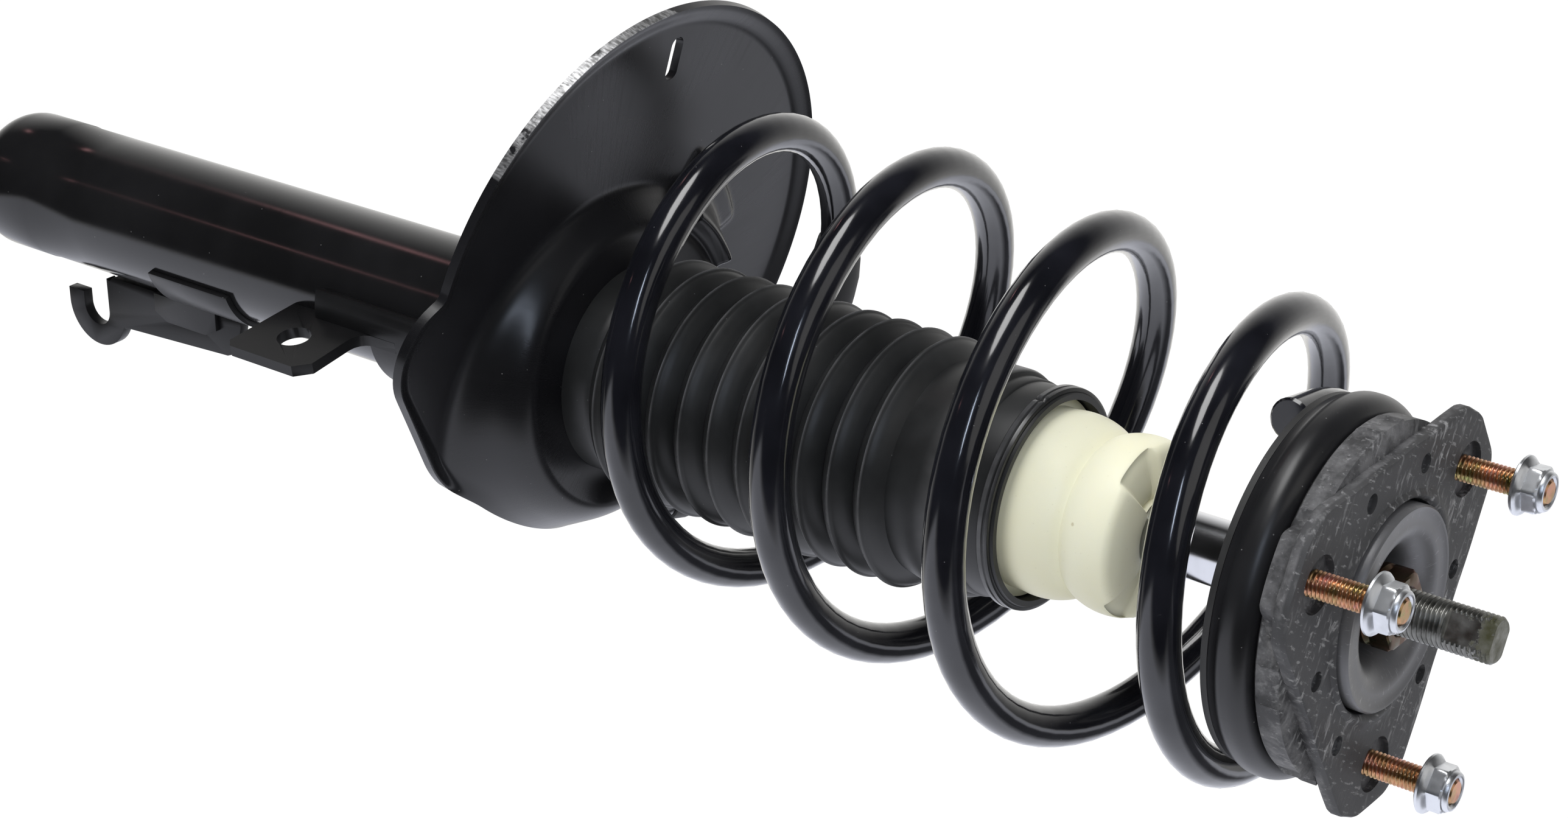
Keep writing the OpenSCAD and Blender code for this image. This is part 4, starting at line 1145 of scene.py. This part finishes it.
class STRUT_OT_fasteners(Piece, bpy.types.Operator):
    """Makes the studs with their threads, the flange nuts and the rod's nut"""

    bl_idname = "strut.fasteners"
    bl_label = "Fasteners"

    def build(self, scene):
        s = Millimetres(scene.strut_mount)
        gold = yellow_zinc("yellow zinc", scene.strut_colours.gold)
        zinc = bright_metal("bright zinc", scene.strut_colours.zinc, 0.33, 90, 0.09, 0.3)
        head = s.face_z - 9
        rows = round((s.stud_top - 0.8 - (head + 4)) / 0.208)
        outline = [(0, head), (6.5, head), (6.5, head + 3), (3.9, head + 3)]
        outline += [(3.9, head + 4 + 0.208 * k) for k in range(rows + 1)]
        outline += [(3.2, s.stud_top), (0, s.stud_top)]
        stud = turned("mount_stud_1", outline, 40)
        reshape(stud, lambda r, a, z: (
            thread(r, a, z, 3.35, s.stud_r, 1.25) if head + 4 < z < s.stud_top - 0.7 and r > 3.5 else r, a, z))
        nut = turned("stud_nut_1", [
            (4.05, 0.3), (4.5, 0), (8.5, 0), (s.flange_r, 0.4), (s.flange_r, 1.1), (8.5, 1.7), (7.9, 2.2),
            (7.5, 2.9), (7.5, 3.4), (7.5, 6.4), (7.15, 6.9), (6.6, 7.3), (6.1, 7.5), (6.0, 8.3),
            (5.6, 8.9), (5.0, 9), (4.5, 8.8), (4.05, 8.2)], 96)
        reshape(nut, lambda r, a, z: (
            min(r, hexagon(a + 12, s.nut_af)) if 2.5 < z < 7.2 and r > 6.2 else r, a, z + s.nut_z))
        for k, way in enumerate((0, 120, 240)):
            x, y = (s.stud_circle * f(math.radians(way)) for f in (math.cos, math.sin))
            for first, name, slot, material, node in (
                    (stud, f"mount_stud_{k + 1}", "yellow_zinc", gold, "mount_studs"),
                    (nut, f"stud_nut_{k + 1}", "bright_zinc", zinc, "stud_nuts")):
                piece = copy_of(first, "made_" + name)
                dress(place_at(piece, x, y), "top_mount", slot, material, [node], 30)
                piece["final"] = name
        bpy.data.objects.remove(stud)
        bpy.data.objects.remove(nut)
        for piece in [o for o in scene.objects if "final" in o]:
            piece.name = piece["final"]
            del piece["final"]
        low = s.rod_nut_z
        rod_nut = turned("rod_nut_hex", [
            (7.05, low), (12, low), (12, low + 1.7), (11.6, low + 2), (12.1, low + 2.6), (12.1, low + 7.8),
            (11.3, low + 8.6), (10, low + 9), (7.6, low + 9), (7.05, low + 8.5)], 96)
        reshape(rod_nut, lambda r, a, z: (
            min(r, hexagon(a, s.rod_nut_af)) if z > low + 2.3 and r > 9 else r, a, z))
        # the rod nut's zinc is darkened to 0.18 as painted shade of the cup's deep hole
        dress(rod_nut, "top_mount", "yellow_zinc",
              yellow_zinc("oiled yellow zinc", scene.strut_colours.gold, 0.18), ["rod_nut"], 30)


class STRUT_OT_rod(Piece, bpy.types.Operator):
    """Makes the chromed rod and its threaded, flatted end"""

    bl_idname = "strut.rod"
    bl_label = "Piston rod"

    def build(self, scene):
        s = Millimetres(scene.strut_damper)
        stem = s.rod_low - 23
        shaft = turned("rod_shaft", [
            (0, stem), (5.5, stem), (5.5, s.rod_low), (9.6, s.rod_low), (s.rod_r, s.rod_low + 0.5),
            (s.rod_r, 400), (s.rod_r, 500), (s.rod_r, s.rod_shoulder - 0.8), (9.2, s.rod_shoulder),
            (0, s.rod_shoulder)], 96)
        dress(shaft, "top_mount", "hard_chrome",
              bright_metal("hard chrome", scene.strut_colours.chrome, 0.14, 18, 0.01, 0.1), ["piston_rod"])
        step = 0.25
        rows = round((s.rod_top - 0.8 - s.rod_shoulder) / step)
        outline = [(0, s.rod_shoulder), (6.9, s.rod_shoulder)]
        outline += [(6.9, s.rod_shoulder + step * k) for k in range(1, rows + 1)]
        outline += [(6.2, s.rod_top), (3, s.rod_top), (0, s.rod_top)]
        end = turned("rod_thread", outline, 64)

        def rule(r, a, z):
            if r > 6.5 and s.rod_shoulder + 0.5 < z < s.rod_top - 0.9:
                r = thread(r, a, z, 6.35, s.thread_r, 1.5)
            x, y = r * math.cos(math.radians(a)), r * math.sin(math.radians(a))
            limit = s.flat_half + 2.2 * ease(1 - (z - s.flat_start) / 1.2)
            x = min(limit, max(-limit, x))
            return math.hypot(x, y), math.degrees(math.atan2(y, x)), z

        dress(reshape(end, rule), "top_mount", "hard_chrome", rod_end(), ["piston_rod"], 35)


class STRUT_OT_hidden(Piece, bpy.types.Operator):
    """Gives the pieces held inside their metals, rubbers and plastics"""

    bl_idname = "strut.hidden"
    bl_label = "Inner pieces"

    def build(self, scene):
        steel = bright_metal("machined steel", (0.45, 0.45, 0.46), 0.3)
        sealing = rubber("sealing rubber", (0.02, 0.02, 0.02), 0.5, 0.0)
        for node in ("pressure_tube", "base_valve", "rod_guide", "piston", "piston_nut", "mount_sleeve",
                     "bearing_lower_race", "bearing_upper_race", "bearing_balls"):
            dress_node(node, steel)
        for node in ("rod_seal", "rebound_stop", "upper_pad", "mount_core"):
            dress_node(node, sealing)
        dress_node("bearing_cage", plastic("cage nylon", (0.5, 0.45, 0.3), 0.45))


class STRUT_OT_stage(Piece, bpy.types.Operator):
    """Sets the camera, the lamps, the pale floor and the white studio round it"""

    bl_idname = "strut.stage"
    bl_label = "Stage"

    RIGHT = Vector((-0.5233, -0.3007, 0.7973))
    UP = Vector((0.165, -0.9537, -0.2514))
    AHEAD = Vector((-0.836, 0.0, -0.5487))
    EYE = Vector((0.8359, -0.0019, 0.9149))
    MIDDLE = Vector((0.0, -0.01, 0.31))

    def build(self, scene):
        clear_selection()
        bpy.ops.object.camera_add()
        camera = bpy.context.object
        camera.matrix_world = Matrix((
            (self.RIGHT.x, self.UP.x, -self.AHEAD.x, self.EYE.x),
            (self.RIGHT.y, self.UP.y, -self.AHEAD.y, self.EYE.y),
            (self.RIGHT.z, self.UP.z, -self.AHEAD.z, self.EYE.z),
            (0, 0, 0, 1)))
        camera.data.sensor_width = 36
        camera.data.lens = 5173.5 / 2576 * 36
        scene.camera = camera
        # name, way right, up and towards the camera, distance, width, height, power, colour
        for name, side, rise, near, away, wide, high, power, rgb in (
                ("softbox", -0.04, 0.84, 0.54, 1.5, 0.62, 1.1, 10.4, (1, 1, 1)),
                ("strip", 0.09, 0.1, 0.99, 1.5, 0.08, 0.62, 2.2, (0.72, 0.82, 1)),
                ("fill", 0.8, 0.1, 0.7, 1.8, 1.4, 1.4, 3, (1, 0.98, 0.95))):
            self.lamp(name, side, rise, near, away, wide, high, power, rgb)
        self.floor()
        self.studio(scene)
        scene.view_settings.view_transform = "Standard"

    def lamp(self, name, side, rise, near, away, wide, high, power, rgb):
        toward = (self.RIGHT * side + self.UP * rise - self.AHEAD * near).normalized()
        clear_selection()
        bpy.ops.object.light_add(type="AREA", location=self.MIDDLE + toward * away)
        lamp = bpy.context.object
        lamp.name = name
        lamp.data.shape = "ELLIPSE"
        lamp.data.size, lamp.data.size_y = wide, high
        lamp.data.energy = power
        lamp.data.color = rgb
        across = (self.RIGHT - toward * self.RIGHT.dot(toward)).normalized()
        upward = toward.cross(across)
        lamp.matrix_world = Matrix.Translation(lamp.location) @ Matrix(
            (across, upward, toward)).transposed().to_4x4()

    def floor(self):
        clear_selection()
        bpy.ops.mesh.primitive_plane_add(size=12, location=(0, 0, -0.0006))
        floor = bpy.context.object
        floor.name = "floor"
        f = Finish("pale floor")
        grain = f.noise(40, 3)
        f.shader(Base_Color=f.mix(grain, (0.9, 0.9, 0.9), (0.92, 0.92, 0.92)), Roughness=0.9)
        path = f.node("ShaderNodeLightPath")
        white = f.node("ShaderNodeEmission", {}, {"Color": (1, 1, 1), "Strength": 1.08})
        seen = f.node("ShaderNodeMixShader", {}, {
            0: Value(f, path.outputs["Is Camera Ray"]) * 0.86, 1: f.surface.outputs[0],
            2: white.outputs[0]})
        # gloss sees the studio's own ground and backdrop through the floor
        clear = f.node("ShaderNodeBsdfTransparent")
        both = f.node("ShaderNodeMixShader", {}, {
            0: path.outputs["Is Glossy Ray"], 1: seen.outputs[0], 2: clear.outputs[0]})
        output = next(n for n in f.tree.nodes if n.type == "OUTPUT_MATERIAL")
        f.set(output.inputs["Surface"], both.outputs[0])
        floor.data.materials.append(f.material)

    def studio(self, scene):
        """White for the eye. Gloss sees a white ground and backdrop, a dark front and thin strips."""
        world = bpy.data.worlds.new("studio")
        world.use_nodes = True
        scene.world = world
        sky = Nodes(world.node_tree)
        way = sky.node("ShaderNodeTexCoord").outputs["Generated"]
        rise, side, ahead = (sky.along(way, axis) for axis in (self.UP, self.RIGHT, self.AHEAD))
        ground = (rise * -1.0).over(0.25, 0.04) * ahead.ramp(-0.6, -0.4)
        backdrop = ahead.ramp(0.18, 0.8)
        shaded = side.over(0.55, 0.1) * (rise * -1.0).over(0.43, 0.04)
        light = backdrop.calc("MAXIMUM", backdrop, ground * 1.05) * (1.0 - shaded * 0.9) + 0.008
        # the two long coloured strips that the enamel shows as thin lines
        strips = (rise.near(0.89, 0.012) * side.near(-0.42, 0.06) * ahead.near(0.19, 0.07) * 6.0
                  + (rise * 0.87 + side * 0.49).near(-0.02, 0.02) * side.near(-0.84, 0.06)
                  * ahead.near(-0.23, 0.08) * 4.0)
        glow = sky.mix(ground, (1.0, 0.99, 0.97), (0.93, 0.95, 1.05))
        gloss = sky.node("ShaderNodeVectorMath", {"operation": "SCALE"}, {0: glow, "Scale": light})
        tint = sky.node("ShaderNodeVectorMath", {"operation": "SCALE"},
                        {0: (1.0, 0.5, 0.52), "Scale": strips})
        shown = sky.node("ShaderNodeVectorMath", {"operation": "ADD"},
                         {0: gloss.outputs[0], 1: tint.outputs[0]})
        path = sky.node("ShaderNodeLightPath")
        lit = sky.mix(path.outputs["Is Glossy Ray"], (0.92, 0.92, 0.92), shown.outputs[0])
        back = sky.node("ShaderNodeBackground", {}, {
            "Color": sky.mix(path.outputs["Is Camera Ray"], lit, (1.0, 1.0, 1.0)), "Strength": 1.0})
        sky.node("ShaderNodeOutputWorld", {}, {"Surface": back.outputs[0]})


class STRUT_PT_panel(bpy.types.Panel):
    """Lists the strut's sizes, colours and operators"""

    bl_idname = "STRUT_PT_panel"
    bl_label = "Strut Assembly"
    bl_space_type = "VIEW_3D"
    bl_region_type = "UI"
    bl_category = "Strut"

    def draw(self, context):
        for operator in OPERATORS:
            self.layout.operator(operator.bl_idname)
        for name in GROUPS:
            group = getattr(context.scene, name)
            box = self.layout.box()
            for key in group.bl_rna.properties.keys():
                if key not in ("rna_type", "name"):
                    box.prop(group, key)


GROUPS = {
    "strut_damper": DamperSizes,
    "strut_spring": SpringSizes,
    "strut_pan": PanSizes,
    "strut_boot": BootSizes,
    "strut_mount": MountSizes,
    "strut_colours": StrutColours,
}
OPERATORS = (
    STRUT_OT_tube, STRUT_OT_brackets, STRUT_OT_pan, STRUT_OT_spring, STRUT_OT_boot,
    STRUT_OT_bump_stop, STRUT_OT_rod, STRUT_OT_upper_seat, STRUT_OT_mount,
    STRUT_OT_fasteners, STRUT_OT_hidden, STRUT_OT_stage,
)


def register():
    for kind in (*GROUPS.values(), *OPERATORS, STRUT_PT_panel):
        bpy.utils.register_class(kind)
    for name, kind in GROUPS.items():
        setattr(bpy.types.Scene, name, PointerProperty(type=kind))


def unregister():
    for name in GROUPS:
        delattr(bpy.types.Scene, name)
    for kind in reversed((*GROUPS.values(), *OPERATORS, STRUT_PT_panel)):
        bpy.utils.unregister_class(kind)


def main():
    register()
    for operator in OPERATORS:
        group, name = operator.bl_idname.split(".")
        getattr(getattr(bpy.ops, group), name)()


if __name__ == "__main__":
    main()
